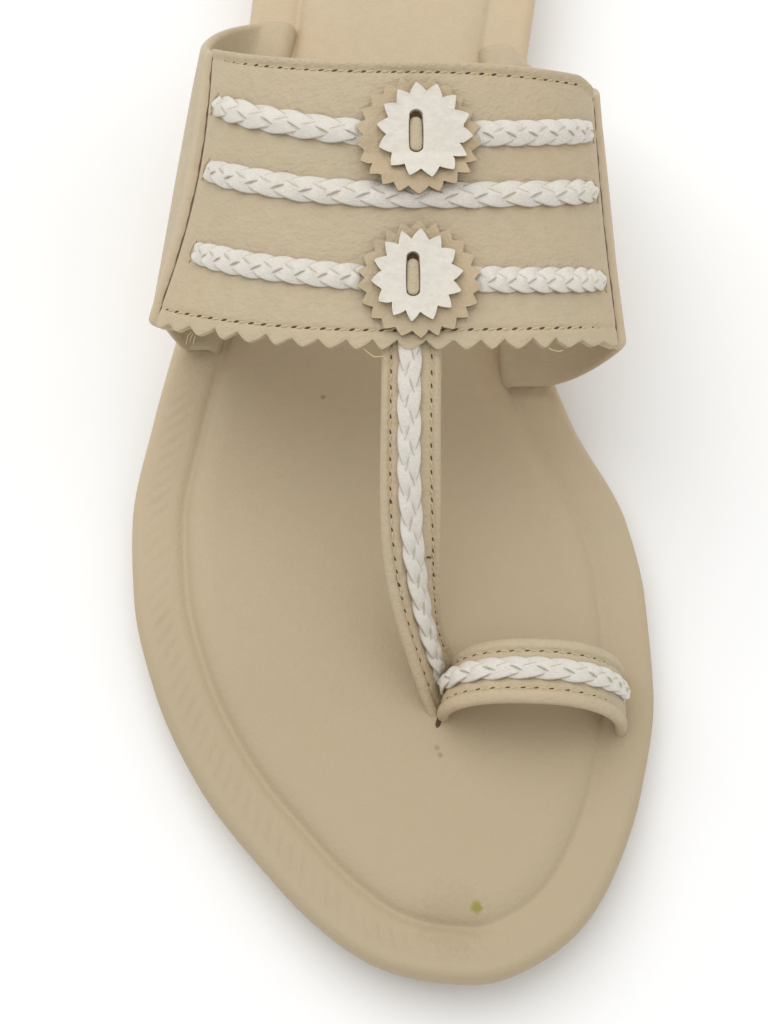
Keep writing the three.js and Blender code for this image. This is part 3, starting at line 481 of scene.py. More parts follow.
def bandPoint(u, w):
    u, w = np.broadcast_arrays(np.clip(u, 0, strap["stations"]), w)
    size = {key: lerp(*pair, w) for key, pair in bandRows.items()}
    onLateral = u < strap["crown"]
    slit = np.where(onLateral, size["lateralSlit"], size["medialSlit"]) * halfBall
    bulge = np.where(onLateral, size["lateralBulge"], size["medialBulge"]) * halfBall
    slitY = yOf(np.where(onLateral, size["lateralShare"], size["medialShare"]))
    lean = np.where(onLateral, size["lateralLean"], size["medialLean"])
    away = np.sign(bulge - slit)
    k = np.where(onLateral, u, strap["stations"] - u)
    rise0 = sole["gap"] + strap["clearance"]
    fold = strap["fold"]
    a1, a2, a3 = (np.clip((k - start) / run, 0, 1) * math.pi / 2 for start, run in ((1, 3), (5, 5), (10, 9)))
    bulgeRise = size["height"] * size["bulgeRise"]
    restX = slit + away * (fold + strap["rest"])
    x = slit + away * fold * (1 - np.cos(a1))
    rise = lerp(sole["gap"] / 2 - sole["bed"], rise0 - fold, np.clip(k, 0, 1)) + fold * np.sin(a1)
    x = np.where(k > 4, lerp(slit + away * fold, restX, np.clip(k - 4, 0, 1)), x)
    x = np.where(k > 5, lerp(restX, bulge, np.sin(a2)), x)
    rise = np.where(k > 4, lerp(bulgeRise, rise0, np.cos(a2)), rise)
    power = 2 / np.where(onLateral, size["lateralShoulder"], size["medialShoulder"])
    across = np.maximum(np.cos(a3), 0) ** power
    x = np.where(k > 10, lerp(size["crownX"] * halfBall, bulge, across), x)
    rise = np.where(k > 10, lerp(bulgeRise, size["height"], np.sin(a3) ** power), rise)
    up = np.maximum(rise - rise0, 0) / (size["height"] - rise0)
    y = lerp(slitY, yOf(size["crownShare"]), up**lean)
    base = lerp(borderTop(slitY), borderTop(yOf(size["lateralShare"])), smooth(0, 1, (k - 10) / 9))
    return np.stack([x, y, base + rise], -1)


# Normal of a surface of two parameters, from short steps either way
def surfaceNormal(surface, a, b, stepA, stepB):
    alongA = surface(a + stepA, b) - surface(a - stepA, b)
    return unit(np.cross(alongA, surface(a, b + stepB) - surface(a, b - stepB)))


def bandNormal(u, w):
    return surfaceNormal(bandPoint, u, w, 0.3, 0.012)


def seamStation(side, w):
    sign = 1 if side == "medial" else -1
    front, back, bow = seamRows[side]
    return strap["crown"] + sign * shoulderStations * (1 - lerp(front, back, w) - 4 * bow * w * (1 - w))


# Arc length round the band from the crown, tabulated both ways at even steps
grid = dict(stationStep=0.025, widthFrom=0.1, widthStep=0.02, lengthFrom=100, lengthStep=0.25)
uTable = np.linspace(0, strap["stations"], 1521)
wTable = np.linspace(-grid["widthFrom"], 1 + grid["widthFrom"], 61)
tablePoints = bandPoint(uTable[:, None], wTable[None])
lengths = np.stack([pathLength(tablePoints[:, j]) for j in range(len(wTable))], -1)
lengths = lengths - lengths[len(uTable) // 2]
lengthTable = np.linspace(-grid["lengthFrom"], grid["lengthFrom"], 801)
stationTable = np.stack([np.interp(lengthTable, column, uTable) for column in lengths.T], -1)
crownEnds = bandPoint(strap["crown"], np.array([0.0, 1.0]))
crownLength = float(np.linalg.norm(crownEnds[1] - crownEnds[0]))


def sample(table, a, b):
    i = np.clip(np.floor(a).astype(int), 0, table.shape[0] - 2)
    j = np.clip(np.floor(b).astype(int), 0, table.shape[1] - 2)
    s, t = np.clip(a - i, 0, 1), np.clip(b - j, 0, 1)
    return lerp(lerp(table[i, j], table[i + 1, j], s), lerp(table[i, j + 1], table[i + 1, j + 1], s), t)


def wIndex(w):
    return (w + grid["widthFrom"]) / grid["widthStep"]


def stationAt(length, w):
    return sample(stationTable, (length + grid["lengthFrom"]) / grid["lengthStep"], wIndex(w))


def lengthAt(u, w):
    return sample(lengths, u / grid["stationStep"], wIndex(w))


def seamLength(side, w):
    return float(lengthAt(np.array(seamStation(side, w)), np.array(w)))


# Cross section of a strap with rolled edges: side from -half to half, height from 0 down to -thickness
def stadium(half, thickness, faceSteps, edgeSteps=7, underSteps=10):
    radius = thickness / 2
    face = np.linspace(-half + radius, half - radius, faceSteps)
    angle = np.linspace(0, math.pi, edgeSteps + 2)[1:-1]
    under = np.linspace(half - radius, -half + radius, underSteps)
    out, up = np.sin(angle), np.cos(angle)
    side = np.concatenate([face, half - radius + radius * out, under, -half + radius - radius * out])
    high = np.concatenate([0 * face, radius * up - radius, 0 * under - thickness, -radius - radius * up])
    top = np.concatenate([0 * face + 1, 0.5 + 0.5 * up, 0 * under, 0.5 - 0.5 * up])
    return side, high, top


def addStrap(name, rings, along, side, material):
    shell = tubeShell(rings, paired(along, side[None]))
    addPiece(name, [shell], [material], ["strap_upper"])


# Band lining: the strap's own wall, with a soft roll just outside each seam of the face panel and a rounded
# back corner at the big toe side. Offset = roll * rise(d) - groove * hump(d), d is the way beyond the seam
lining = dict(
    roll=1.1, rollFrom=0.35, rollFull=1.7, rollEnd=6, groove=0.6, grooveAt=0.15, grooveWidth=0.3,
    corner=2.4, cornerRun=6, frontFrom=4.05, frontTo=7.2)
half = (crownLength - strap["inset"] - strap["liningInset"]) / 2
side, high, top = stadium(half, strap["thickness"], 44, 9, 16)
stretches = (0, 1, 4), (1, 4, 12), (4, 5, 4), (5, 10, 35), (10, strap["crown"], 75)
oneSide = [np.linspace(first, last, steps + 1)[1:] for first, last, steps in stretches]
oneSide = np.concatenate([[0], *oneSide])
u = np.concatenate([oneSide, strap["stations"] - oneSide[::-1][1:]])[:, None]
fromCrown = np.abs(u - strap["crown"])
frontW = strap["inset"] / crownLength * (1 - smooth(lining["frontFrom"], lining["frontTo"], fromCrown))
pastSeam = lengthAt(u, np.ones_like(u)) - seamLength("medial", 1.0)
corner = lining["corner"] * smooth(-8, -1, pastSeam) * (1 - smooth(0, lining["cornerRun"], pastSeam))
w = lerp(frontW, 1 - (strap["liningInset"] + corner) / crownLength, (side[None] / half + 1) / 2)
points, normals = bandPoint(u, w), bandNormal(u, w)
onLateral = u < strap["crown"]
seamU = np.where(onLateral, seamStation("lateral", w), seamStation("medial", w))
beyond = (lengthAt(u, w) - lengthAt(seamU, w)) * np.where(onLateral, -1, 1)
roll = lining["roll"] * smooth(lining["rollFrom"], lining["rollFull"], beyond)
roll = roll * (1 - smooth(lining["rollFull"], lining["rollEnd"], beyond))
groove = lining["groove"] * hump(beyond, lining["grooveAt"], lining["grooveWidth"])
rings = points + normals * (high[None] + (roll - groove) * top[None])[..., None]
addStrap("band_lining", rings, beyond, side, liningLeather)
print("band lining made")

# Centre strap: a cubic curve from under the band to the toe post, turning its width along the foot
post = dict(
    x=0.215, share=0.207, turn=0.27, width=10, tuck=9, landSlope=0.9, landDrift=0.42, drop=0.5,
    handle=0.32, twistFrom=0.18, widening=0.08, footFrom=0.72)
toeLoop = dict(
    width=11.8, height=15.4, forward=0.45, power=2.3, endX=0.885, endShare=0.198, overlap=0.2)
postHalf = max(post["width"] / math.sin(post["landSlope"]), toeLoop["width"]) / 2
postAlong = np.array([math.sin(post["turn"]), math.cos(post["turn"]), 0])
postFoot = np.array([post["x"] * halfBall, yOf(post["share"]), 0])
postFoot[2] = borderTop(postFoot[1]) + sole["pad"]
crownFront = bandPoint(strap["crown"], 0.0)
slope = unit(crownFront - bandPoint(strap["crown"], 0.2))
start = crownFront - slope * strap["inset"] - np.array([0, 0, post["drop"]])
land = unit(np.array([post["landDrift"], -math.cos(post["landSlope"]), -math.sin(post["landSlope"])]))
handle = np.linalg.norm(postFoot - start) * post["handle"]
controls = np.stack([start, start + slope * handle, postFoot - land * handle, postFoot])


def centreFace(t, v):
    t, v = np.broadcast_arrays(t, v)
    inside = np.clip(t, 0, 1)[..., None]
    left = 1 - inside
    a, b, c, d = controls
    spine = left**3 * a + 3 * left**2 * inside * b + 3 * left * inside**2 * c + inside**3 * d
    forward = unit(left**2 * (b - a) + 2 * left * inside * (c - b) + inside**2 * (d - c))
    across = lerp(np.array([1.0, 0, 0]), postAlong, smooth(post["twistFrom"], 1, inside))
    across = unit(across - forward * (across * forward).sum(-1, keepdims=True)) * post["width"] / 2
    across = across * (1 + post["widening"] * hump(inside, 0.65, 0.3))
    across = lerp(across, postAlong * postHalf, smooth(post["footFrom"], 1, inside))
    spine = spine + slope * np.minimum(t, 0)[..., None] * post["tuck"]
    spine = spine - np.array([0, 0, padTop]) * np.maximum(t - 1, 0)[..., None]
    return spine + across * v[..., None]


def centreNormal(t, v):
    normal = surfaceNormal(centreFace, np.minimum(t, 0.975), v, 0.015, 0.1)
    down = np.array([math.cos(post["turn"]), -math.sin(post["turn"]), 0])
    return unit(lerp(normal, down, smooth(0.97, 1.03, np.broadcast_arrays(t, v)[0])[..., None]))


# Cross section of both narrow straps: a trough under each stitch line and a slightly proud rim
narrow = dict(half=5, stitch=3.4, trough=0.28, troughWidth=0.4, rim=0.18, rimInset=0.7, rimWidth=0.6)


def narrowOffset(side, high, top):
    trough = narrow["trough"] * hump(np.abs(side), narrow["stitch"], narrow["troughWidth"])
    rim = narrow["rim"] * hump(np.abs(side), narrow["half"] - narrow["rimInset"], narrow["rimWidth"])
    return high + (rim - trough) * top


# Rows are (place along the strap, depth, width, lean)
centreCreases = (0.62, 0.14, 0.008, 0.02), (0.66, 0.1, 0.007, -0.015), (0.43, 0.1, 0.006, 0.01)
side, high, top = stadium(narrow["half"], strap["thickness"], 41)
t = np.concatenate([np.linspace(-1, 0, 8), np.linspace(0, 1, 170)[1:], np.linspace(1, 2, 12)[1:]])[:, None]
v = (side / narrow["half"])[None]
offset = narrowOffset(side, high, top)[None]
for at, depth, width, lean in centreCreases:
    offset = offset - depth * hump(t + lean * v, at, width) * top[None]
rings = centreFace(t, v) + centreNormal(t, v) * offset[..., None]
addStrap("centre_strap", rings, t * 60, side, beige)
print("centre strap made")


# Toe loop: a flat-topped arch from the post line to the outer slit, both legs going down through the footbed
def loopFace(s, v):
    s, v = np.broadcast_arrays(s, v)
    width = toeLoop["width"]
    away = (v - 0.5)[..., None] * width - toeLoop["forward"]
    fromPoint = postFoot - np.array([toeLoop["overlap"], 0, 0]) + postAlong * away
    toPoint = np.array([toeLoop["endX"] * halfBall, yOf(toeLoop["endShare"]), 0])
    toPoint = toPoint + np.array([0, 1.0, 0]) * away
    innerZ = borderTop(fromPoint[..., 1]) + sole["pad"]
    outerZ = borderTop(toPoint[..., 1])
    inside = np.clip(s, 0, 1)
    angle = inside * math.pi
    across = np.sign(-np.cos(angle)) * np.abs(np.cos(angle)) ** (2 / toeLoop["power"])
    up = np.maximum(np.sin(angle), 0) ** (2 / toeLoop["power"])
    x = (fromPoint[..., 0] + toPoint[..., 0]) / 2 + across * (toPoint[..., 0] - fromPoint[..., 0]) / 2
    y = lerp(fromPoint[..., 1], toPoint[..., 1], inside)
    z = lerp(innerZ, outerZ, inside) + up * (toeLoop["height"] - sole["pad"] / 2)
    z = z - np.maximum(-s, 0) * padTop - np.maximum(s - 1, 0) * bed
    return np.stack([x, y, z], -1)


def loopNormal(s, v):
    s, v = np.broadcast_arrays(s, v)
    normal = surfaceNormal(loopFace, np.clip(s, 0.012, 0.988), v, 0.01, 0.05)
    inner = np.array([-math.cos(post["turn"]), math.sin(post["turn"]), 0])
    normal = lerp(inner, normal, smooth(-0.01, 0.02, s)[..., None])
    return unit(lerp(normal, np.array([1.0, 0, 0]), smooth(0.98, 1.01, s)[..., None]))


half = toeLoop["width"] / 2
side, high, top = stadium(half, strap["thickness"], 41)
evenSteps = (1 - np.cos(np.linspace(0, math.pi, 150))) / 2
s = np.concatenate([np.linspace(-1, 0, 10), evenSteps[1:], np.linspace(1, 2, 8)[1:]])[:, None]
v = (side / half + 1)[None] / 2
rings = loopFace(s, v) + loopNormal(s, v) * narrowOffset(side, high, top)[None, :, None]
addStrap("toe_loop", rings, s * 50, side, beige)
print("toe loop made")

# Face panel: columns at even steps along the front edge, rows measured in millimetres from either edge.
# Front edge w = tooth(column) / width, with rounded tips and sharp notches; back edge rolled over the lining
panel = dict(
    low=0.3, thickness=1.1, roll=0.35, pucker=0.09, pitch=4.5, depth=1.9, perTooth=14, taper=2.4,
    frontStitch=3.3, backStitch=1.9, stitchPitch=2.45, trough=0.24, troughWidth=0.45, lip=0.12,
    overhang=0.6, edgeBand=6, corner=1.9, cornerRun=5.5, sink=0.25)
low, panelTop = panel["low"], panel["low"] + panel["thickness"]
fromLength, toLength = (seamLength(name, 0.0) for name in sideNames)
frontLength = toLength - fromLength
teeth = round(frontLength / panel["pitch"])
columns = teeth * panel["perTooth"] + 1
column = np.linspace(0, 1, columns)
seamFrom, seamTo = (seamStation(name, 0.0) for name in sideNames)
round01 = (stationAt(lerp(fromLength, toLength, column), np.zeros(columns)) - seamFrom) / (seamTo - seamFrom)


def panelStation(w, share):
    return lerp(seamStation("lateral", w), seamStation("medial", w), share)


# Length along the band's width per unit of w at each column, measured between two values of w
def panelWidth(a, b):
    between = bandPoint(panelStation(b, round01), b) - bandPoint(panelStation(a, round01), a)
    return np.linalg.norm(between, axis=-1) / (b - a)


phase = column * teeth
tooth = np.floor(phase).astype(int).clip(0, teeth - 1)
shift = np.interp(phase, np.arange(teeth + 1) + 0.0, rng.uniform(-0.1, 0.1, teeth + 1))
toTip = np.sqrt((np.abs((phase + shift) % 1 - 0.5) * 2) ** 2 + 0.015) - 0.12
depths = rng.uniform(0.82, 1.1, teeth)
ends = lerp(0.5, 1, smooth(0, 0.14, column)) * lerp(0.45, 1, smooth(0, 0.2, 1 - column))
toothDrop = panel["depth"] * depths[tooth] * toTip**1.2 * ends
widthFront, widthBack = panelWidth(0.02, 0.12), panelWidth(0.9, 0.98)
frontSteps = np.array([0, 0.15, 0.35, 0.7, 1.1, 1.5, 2, 2.5, 2.9, 3.1, 3.3, 3.5, 3.7, 4.1, 4.8, 6])
backSteps = np.array([6, 5, 4, 3.2, 2.7, 2.3, 2.1, 1.9, 1.7, 1.5, 1.2, 0.9, 0.6])
frontReach, backReach = panel["edgeBand"] / widthFront, 1 - panel["edgeBand"] / widthBack
puckers = panel["pucker"] * np.sin(turnFull * column * frontLength / panel["stitchPitch"])


def panelTrough(d, stitchAt):
    return panel["trough"] * hump(d, stitchAt, panel["troughWidth"])


def frontRow(d):
    w = d / widthFront + toothDrop / widthFront * (1 - smooth(0.5, 3.0, d))
    return w, panelTop - panel["lip"] * (1 - smooth(0, 0.35, d)) - panelTrough(d, panel["frontStitch"])


def backRow(d):
    folded = panelTop + panel["roll"] * hump(d, 0.7, 0.7)
    return 1 - d / widthBack, folded - panelTrough(d, panel["backStitch"]) + puckers * hump(d, 0.9, 0.8)


def edgeRow(a):
    w = 1 - (panel["overhang"] - radius * math.sin(a) * 0.8) / widthBack
    return w, low + radius + radius * math.cos(a)


# Rows are (w, height over the band), round the panel's section: front edge, face, rolled back edge, underside
radius = (panel["thickness"] + panel["roll"] * 0.9) / 2
backEdge = 1 - panel["overhang"] / widthBack
rows = [frontRow(d) for d in frontSteps]
rows += [(lerp(frontReach, backReach, share), panelTop) for share in np.linspace(0, 1, 16)[1:-1]]
rows += [backRow(d) for d in backSteps]
rows += [edgeRow(a) for a in np.linspace(0.15, math.pi - 0.1, 9)]
rows += [(lerp(backEdge, toothDrop / widthFront, share), low) for share in np.linspace(0, 1, 14)]
w, height = (np.stack([np.broadcast_to(row[k], columns) for row in rows], -1) for k in (0, 1))
corner = panel["corner"] * (1 - smooth(0, panel["cornerRun"], (1 - column) * frontLength))
w = w - (corner / widthBack)[:, None] * smooth(0.5, 0.95, w)
u = panelStation(w, round01[:, None])
fromEnd = np.minimum(column, 1 - column)[:, None] * frontLength
flatten = np.sqrt(1 - (1 - np.clip(fromEnd / panel["taper"], 0, 1)) ** 2)
height = low - panel["sink"] * (1 - flatten) + (height - low) * lerp(0.12, 1, flatten)
rings = bandPoint(u, w) + bandNormal(u, w) * height[..., None]
uv = np.stack([lengthAt(u, w), w * crownLength], -1)
addPiece("band_face", [tubeShell(rings, uv)], [beige], ["band_panel"], sharp=50)
print("band face made")


# Three-strand plait along a path: strand k runs at phase a = 2 pi (s / wavelength + k / 3),
# side = reach * sin a, height = -point * lift * sin 2a, so that each strand passes over the one before.
# Its section is a flat ribbon that leans down at the plait's edges. point is 1 or -1, the way its V's point
section = np.linspace(0, turnFull, 18, endpoint=False)
cosine, sine = np.cos(section), np.sin(section)


def plait(name, centre, normal, braid, node):
    along = pathLength(centre)
    total = along[-1]
    even = np.linspace(0, total, int(total * braid["perMillimetre"]))
    centre, normal = resample(centre, along, even), unit(resample(normal, along, even))
    near = np.minimum(even + braid["startRun"], total - even + braid["endRun"])
    pitch = braid["lobe"] * lerp(braid["endPitch"], 1, smooth(0, braid["shrinkRun"], near))
    phase = np.cumsum(np.gradient(even) / (3 * pitch)) * turnFull + braid["phase"]
    size = lerp(braid["endSize"], 1, smooth(0, braid["shrinkRun"] * 0.6, near))
    dive = braid["dive"] * (1 - smooth(0, braid["diveRun"], near))
    for dip, fromEnd in ((braid["startDip"], even), (braid["endDip"], total - even)):
        dive = dive + dip * (1 - smooth(0, 3, fromEnd))
    across = unit(np.cross(normal, np.gradient(centre, axis=0)))
    ribbonX = np.sign(cosine) * np.abs(cosine) ** 0.8 * braid["ribbon"] / 2
    ribbonZ = np.sign(sine) * np.abs(sine) ** 0.75 * braid["thick"] / 2
    shells = []
    for k in range(3):
        a = phase + k * turnFull / 3
        wander = 1 + 0.05 * np.sin(even * 0.9 + k * 2 + braid["seed"])
        out = braid["reach"] * size * wander * np.sin(a)
        up = braid["base"] - braid["point"] * braid["lift"] * np.sin(2 * a) - dive
        spine = centre + across * out[:, None] + normal * up[:, None]
        direction = unit(np.gradient(spine, axis=0))
        flat = unit(unit(np.cross(normal, direction)) - normal * (braid["lean"] * np.sin(a))[:, None])
        face = unit(np.cross(direction, flat))
        widen = size * (1 - 0.1 * np.abs(np.sin(a)))
        rings = spine[:, None] + circleOf(flat, face, ribbonX * widen[:, None], ribbonZ * size[:, None])
        uv = paired(even[:, None] + 37 * k + braid["seed"] * 11, ribbonX[None] * 3 / braid["ribbon"])
        shells.append(tubeShell(rings, uv))
    coreUp = braid["base"] - braid["coreDrop"] - dive[:, None] + braid["coreUp"] * sine * size[:, None]
    core = centre[:, None] + circleOf(across, normal, cosine * braid["coreHalf"] * size[:, None], coreUp)
    shells.append(tubeShell(core, paired(even[:, None], cosine[None])))
    addPiece(name, shells, [braidLeather], [node], sharp=70)


plaitLook = dict(
    lobe=4.8, endPitch=0.5, shrinkRun=11, endSize=0.76, reach=1.06, lift=0.31, base=0.88, ribbon=2.9,
    thick=0.72, lean=0.42, dive=1.7, diveRun=2.2, coreHalf=0.95, coreUp=0.36, coreDrop=0.34,
    startRun=0, endRun=0, startDip=0, endDip=0, phase=0, point=1, perMillimetre=6)
narrowLook = {**plaitLook, "reach": 0.95, "ribbon": 2.6, "base": 0.75, "startRun": 20}
braidRows = dict(
    back=dict(lateral=0.8, crown=0.74, medial=0.765, startGap=2.4, point=1, seed=1, phase=0.6),
    middle=dict(lateral=0.565, crown=0.535, medial=0.535, startGap=2.4, point=-1, seed=2, phase=0.2),
    front=dict(lateral=0.28, crown=0.25, medial=0.215, startGap=4.2, point=-1, seed=3, phase=1.1))
lobes = dict(back=(4.9, 4.0), front=(3.8, 3.4))
nearRosette = dict(run=20, dip=0.55)
endGap, rosetteGap = 2.4, 8.6
rosettes = dict(back=dict(x=0.1, row=0.735), front=dict(x=0.105, row=0.24))


# Arc length from the crown to a rosette's centre
def rosetteAt(rosette):
    return (rosette["x"] - bandRows["crownX"][0]) * halfBall


# Arc lengths at which a row of plait starts and ends
def rowReach(row):
    return seamLength("lateral", row["crown"]) + row["startGap"], seamLength("medial", row["crown"]) - endGap


# Path of a row of plait on the panel, from one arc length to another
def bandPath(row, fromAt, toAt, count=240):
    length = np.linspace(fromAt, toAt, count)
    whole = np.where(length < 0, *(seamLength(name, row["crown"]) for name in sideNames))
    end = np.where(length < 0, row["lateral"], row["medial"])
    w = lerp(row["crown"], end, np.clip(length / whole, 0, 1) ** 1.4)
    u = stationAt(length, w)
    normal = bandNormal(u, w)
    return bandPoint(u, w) + normal * panelTop, normal


# Ends of a path as (point, normal, direction outward)
def startOf(points, normals):
    return points[0], normals[0], points[0] - points[3]


def endOf(points, normals):
    return points[-1], normals[-1], points[-1] - points[-4]


braidEnds = []
for name in ("back", "front"):
    row = braidRows[name]
    first, last = rowReach(row)
    centreAt = rosetteAt(rosettes[name])
    run, dip = nearRosette["run"], nearRosette["dip"]
    path = bandPath(row, first, centreAt - rosetteGap)
    look = {**plaitLook, **row, "endRun": run, "endDip": dip, "lobe": lobes[name][0]}
    plait(f"plait_{name}_lateral", *path, look, f"band_braid_{name}_lateral")
    braidEnds.append(startOf(*path))
    path = bandPath(row, centreAt + rosetteGap, last)
    look = {**plaitLook, **row, "startRun": run, "startDip": dip, "lobe": lobes[name][1]}
    look["seed"] = row["seed"] + 5
    plait(f"plait_{name}_medial", *path, look, f"band_braid_{name}_medial")
    braidEnds.append(endOf(*path))
row = braidRows["middle"]
path = bandPath(row, *rowReach(row), 400)
plait("plait_middle", *path, {**plaitLook, **row}, "band_braid_middle")
braidEnds += [startOf(*path), endOf(*path)]

look = {**narrowLook, "lobe": 5.2, "seed": 11, "endPitch": 0.6, "dive": 0.9}
t, v = np.linspace(-0.02, 0.955, 300), np.full(300, -0.06)
plait("plait_centre", centreFace(t, v), centreNormal(t, v), look, "centre_braid")
look = {**narrowLook, "lobe": 4.3, "seed": 17, "endPitch": 0.42, "shrinkRun": 17}
s, v = np.linspace(0.05, 0.93, 300), np.full(300, 0.5)
plait("plait_toe_loop", loopFace(s, v), loopNormal(s, v), look, "toe_loop_braid")
print("plaits made")


# Beige rim of the slit that each plait dives into: half an ellipse of cord lying on the panel
slitRim = dict(reach=0.9, back=0.5, half=1.7, lift=0.08, width=0.34, height=0.22)


def rimShell(at, normal, outward):
    outward = unit(outward)
    angle = np.linspace(-math.pi / 2, math.pi / 2, 24)[:, None]
    spine = at + outward * (np.cos(angle) * slitRim["reach"] - slitRim["back"]) + normal * slitRim["lift"]
    spine = spine + np.cross(normal, outward) * (np.sin(angle) * slitRim["half"])
    outer = np.cross(unit(np.gradient(spine, axis=0)), normal)
    around = np.linspace(0, turnFull, 10, endpoint=False)
    width, height = slitRim["width"] * np.cos(around), slitRim["height"] * np.sin(around)
    return tubeShell(spine[:, None] + circleOf(outer, normal, width, height))


addPiece("slit_rims", [rimShell(*end) for end in braidEnds], [beige])
print("slit rims made")


# Spot on the panel at millimetres across and along from a rosette's centre
def rosetteSpot(rosette, across, along, height):
    w = rosette["row"] + along / crownLength
    length = rosetteAt(rosette) + across
    u = stationAt(length, np.full(np.shape(length), rosette["row"]))
    return bandPoint(u, w) + bandNormal(u, w) * np.broadcast_to(height, np.shape(w))[..., None]


disc = dict(
    radius=10, teeth=22, notch=0.135, thickness=1, ramp=4, perTooth=12, clearance=0.3, climb=2,
    overRow=0.9, braidWidth=4.7, braidGap=0.6, curl=0.28, sag=0.1)
star = dict(
    radius=8, teeth=14, notch=0.215, thickness=0.9, perTooth=18, slotWidth=2.3, slotEnd=2.4, gap=0.25,
    curl=0.22, inner=0.94, slotRound=0.1)
bar = dict(
    half=1.02, crown=0.42, height=0.45, tilt=0.25, endGap=0.65, shift=0.4, holeHalf=0.95, holeInset=1.15)
starPlace = dict(
    back=dict(across=0.95, along=0.6, slotAcross=-1.2, slotAlong=0, slot=7.0, stretch=0.94, first=1.25),
    front=dict(across=-0.35, along=0.6, slotAcross=-0.6, slotAlong=0.25, slot=7.7, stretch=0.92, first=1.46))


# Height of a disc's underside: it climbs over its own row of plait at both sides, and over the middle row
def discLift(rosette, across, along):
    reach = (braidRows["middle"]["crown"] - rosette["row"]) * crownLength
    clearTo = abs(reach) - disc["braidWidth"] / 2 - disc["braidGap"]
    overRow = disc["overRow"] * hump(along, 0, 3) * smooth(0.5, 0.95, np.abs(across) / disc["radius"])
    lift = panelTop + disc["clearance"] + overRow
    if clearTo > disc["radius"]:
        return lift
    return lift + disc["climb"] * smooth(0, disc["ramp"], along * np.sign(reach) - (clearTo - disc["ramp"]))


# Depth and lift of a pinked rim, every tooth a little different: depth = |2 frac(angle / pitch) - 1|
def zigzag(angle, teeth, seed):
    random = np.random.default_rng(seed)
    phase = (angle / turnFull * teeth) % teeth
    shifts, lifts = random.uniform(-0.09, 0.09, teeth), random.uniform(-0.5, 1, teeth)
    depth = random.uniform(0.85, 1.12, teeth)[np.floor(phase).astype(int) % teeth]
    shift, lift = (np.interp(phase, np.arange(teeth + 1), np.append(of, of[0])) for of in (shifts, lifts))
    return np.abs(((phase + shift) % 1) - 0.5) * 2 * depth, lift


# Pinked disc: radius = share * R * (1 - notch * zigzag(angle) * rise(share)), with teeth that lift a little
def addDisc(name, seed):
    rosette = rosettes[name]
    angle = np.linspace(0, turnFull, disc["teeth"] * disc["perTooth"], endpoint=False)[None]
    zig, lift = zigzag(angle[0], disc["teeth"], seed)
    shares = np.concatenate([np.linspace(0.02, 0.72, 9), np.linspace(0.76, 1, 12)])
    count, thick = len(shares), disc["thickness"]
    share = np.concatenate([shares, [1], shares[::-1]])[:, None]
    height = np.concatenate([np.full(count, thick), [thick / 2], np.zeros(count)])[:, None]
    radius = disc["radius"] * share * (1 - disc["notch"] * zig[None] * smooth(0.72, 1, share))
    across, along = radius * np.cos(angle), radius * np.sin(angle)
    droop = disc["curl"] * lift[None] * smooth(0.7, 1, share) - disc["sag"] * share**2
    points = rosetteSpot(rosette, across, along, discLift(rosette, across, along) + height + droop)
    shell = tubeShell(points, np.stack([across, along], -1))
    # The rim faces take the cut edge colour, which is partly painted shade
    onEdge = np.isin(np.arange(len(shell[1])) // angle.size, (count - 1, count)).astype(int)
    looks, nodes = [discLeather, cutEdgeAndShade], [f"rosette_disc_{name}"]
    addPiece(f"disc_{name}", [shell], looks, nodes, 35, [onEdge])


# Pinked star: a ring from the oblong slot out to sharp teeth; point = lerp(slot(angle), rim(angle), share)
def addStar(name, seed):
    rosette, place = rosettes[name], starPlace[name]
    angle = np.linspace(0, turnFull, star["teeth"] * star["perTooth"], endpoint=False)[None]
    zig, lift = zigzag(angle[0] - place["first"] + math.pi / star["teeth"], star["teeth"], seed)
    shares = np.concatenate([[0, 0.02], np.linspace(0.06, 0.6, 8), np.linspace(0.66, 1, 12)])
    share = np.concatenate([shares, [1], shares[::-1], [0]])[:, None]
    count = len(shares)
    thick, middle = star["thickness"], star["thickness"] / 2
    upper = np.full(count, thick) - star["slotRound"] * (shares == 0)
    height = np.concatenate([upper, [middle], np.zeros(count), [middle]])[:, None]
    rim = star["radius"] * (1 - star["notch"] * zig[None])
    halfSlot = (place["slot"] - star["slotWidth"]) / 2
    holeX = np.cos(angle) * star["slotWidth"] / 2 + place["slotAcross"]
    holeY = np.clip(np.sin(angle) * star["slotEnd"], -1, 1) * halfSlot + np.sin(angle) * star["slotWidth"] / 2
    holeY = holeY + place["slotAlong"]
    target = lerp(star["inner"] * star["radius"], rim, smooth(0.5, 1, share))
    across = lerp(holeX, target * np.cos(angle) * place["stretch"], share) + place["across"]
    along = lerp(holeY, target * np.sin(angle), share) + place["along"]
    droop = star["curl"] * lift[None] * smooth(0.6, 1, share)
    base = discLift(rosette, 0.9 * across, along) + disc["thickness"] + star["gap"]
    rings = rosetteSpot(rosette, across, along, base + height + droop)[:-1]
    uv = np.stack([across, along], -1)[:-1]
    faces = gridFaces(len(rings), angle.size, closedRows=True, closedColumns=True).tolist()
    # The rim faces take the cut edge colour, which is partly painted shade
    onEdge = np.isin(np.arange(len(faces)) // angle.size, (count, count + 1)).astype(int)
    shell = rings.reshape(-1, 3), faces, uv.reshape(-1, 2)
    looks, nodes = [starLeather, cutEdgeAndShade], [f"rosette_star_{name}"]
    addPiece(f"star_{name}", [shell], looks, nodes, 35, [onEdge])
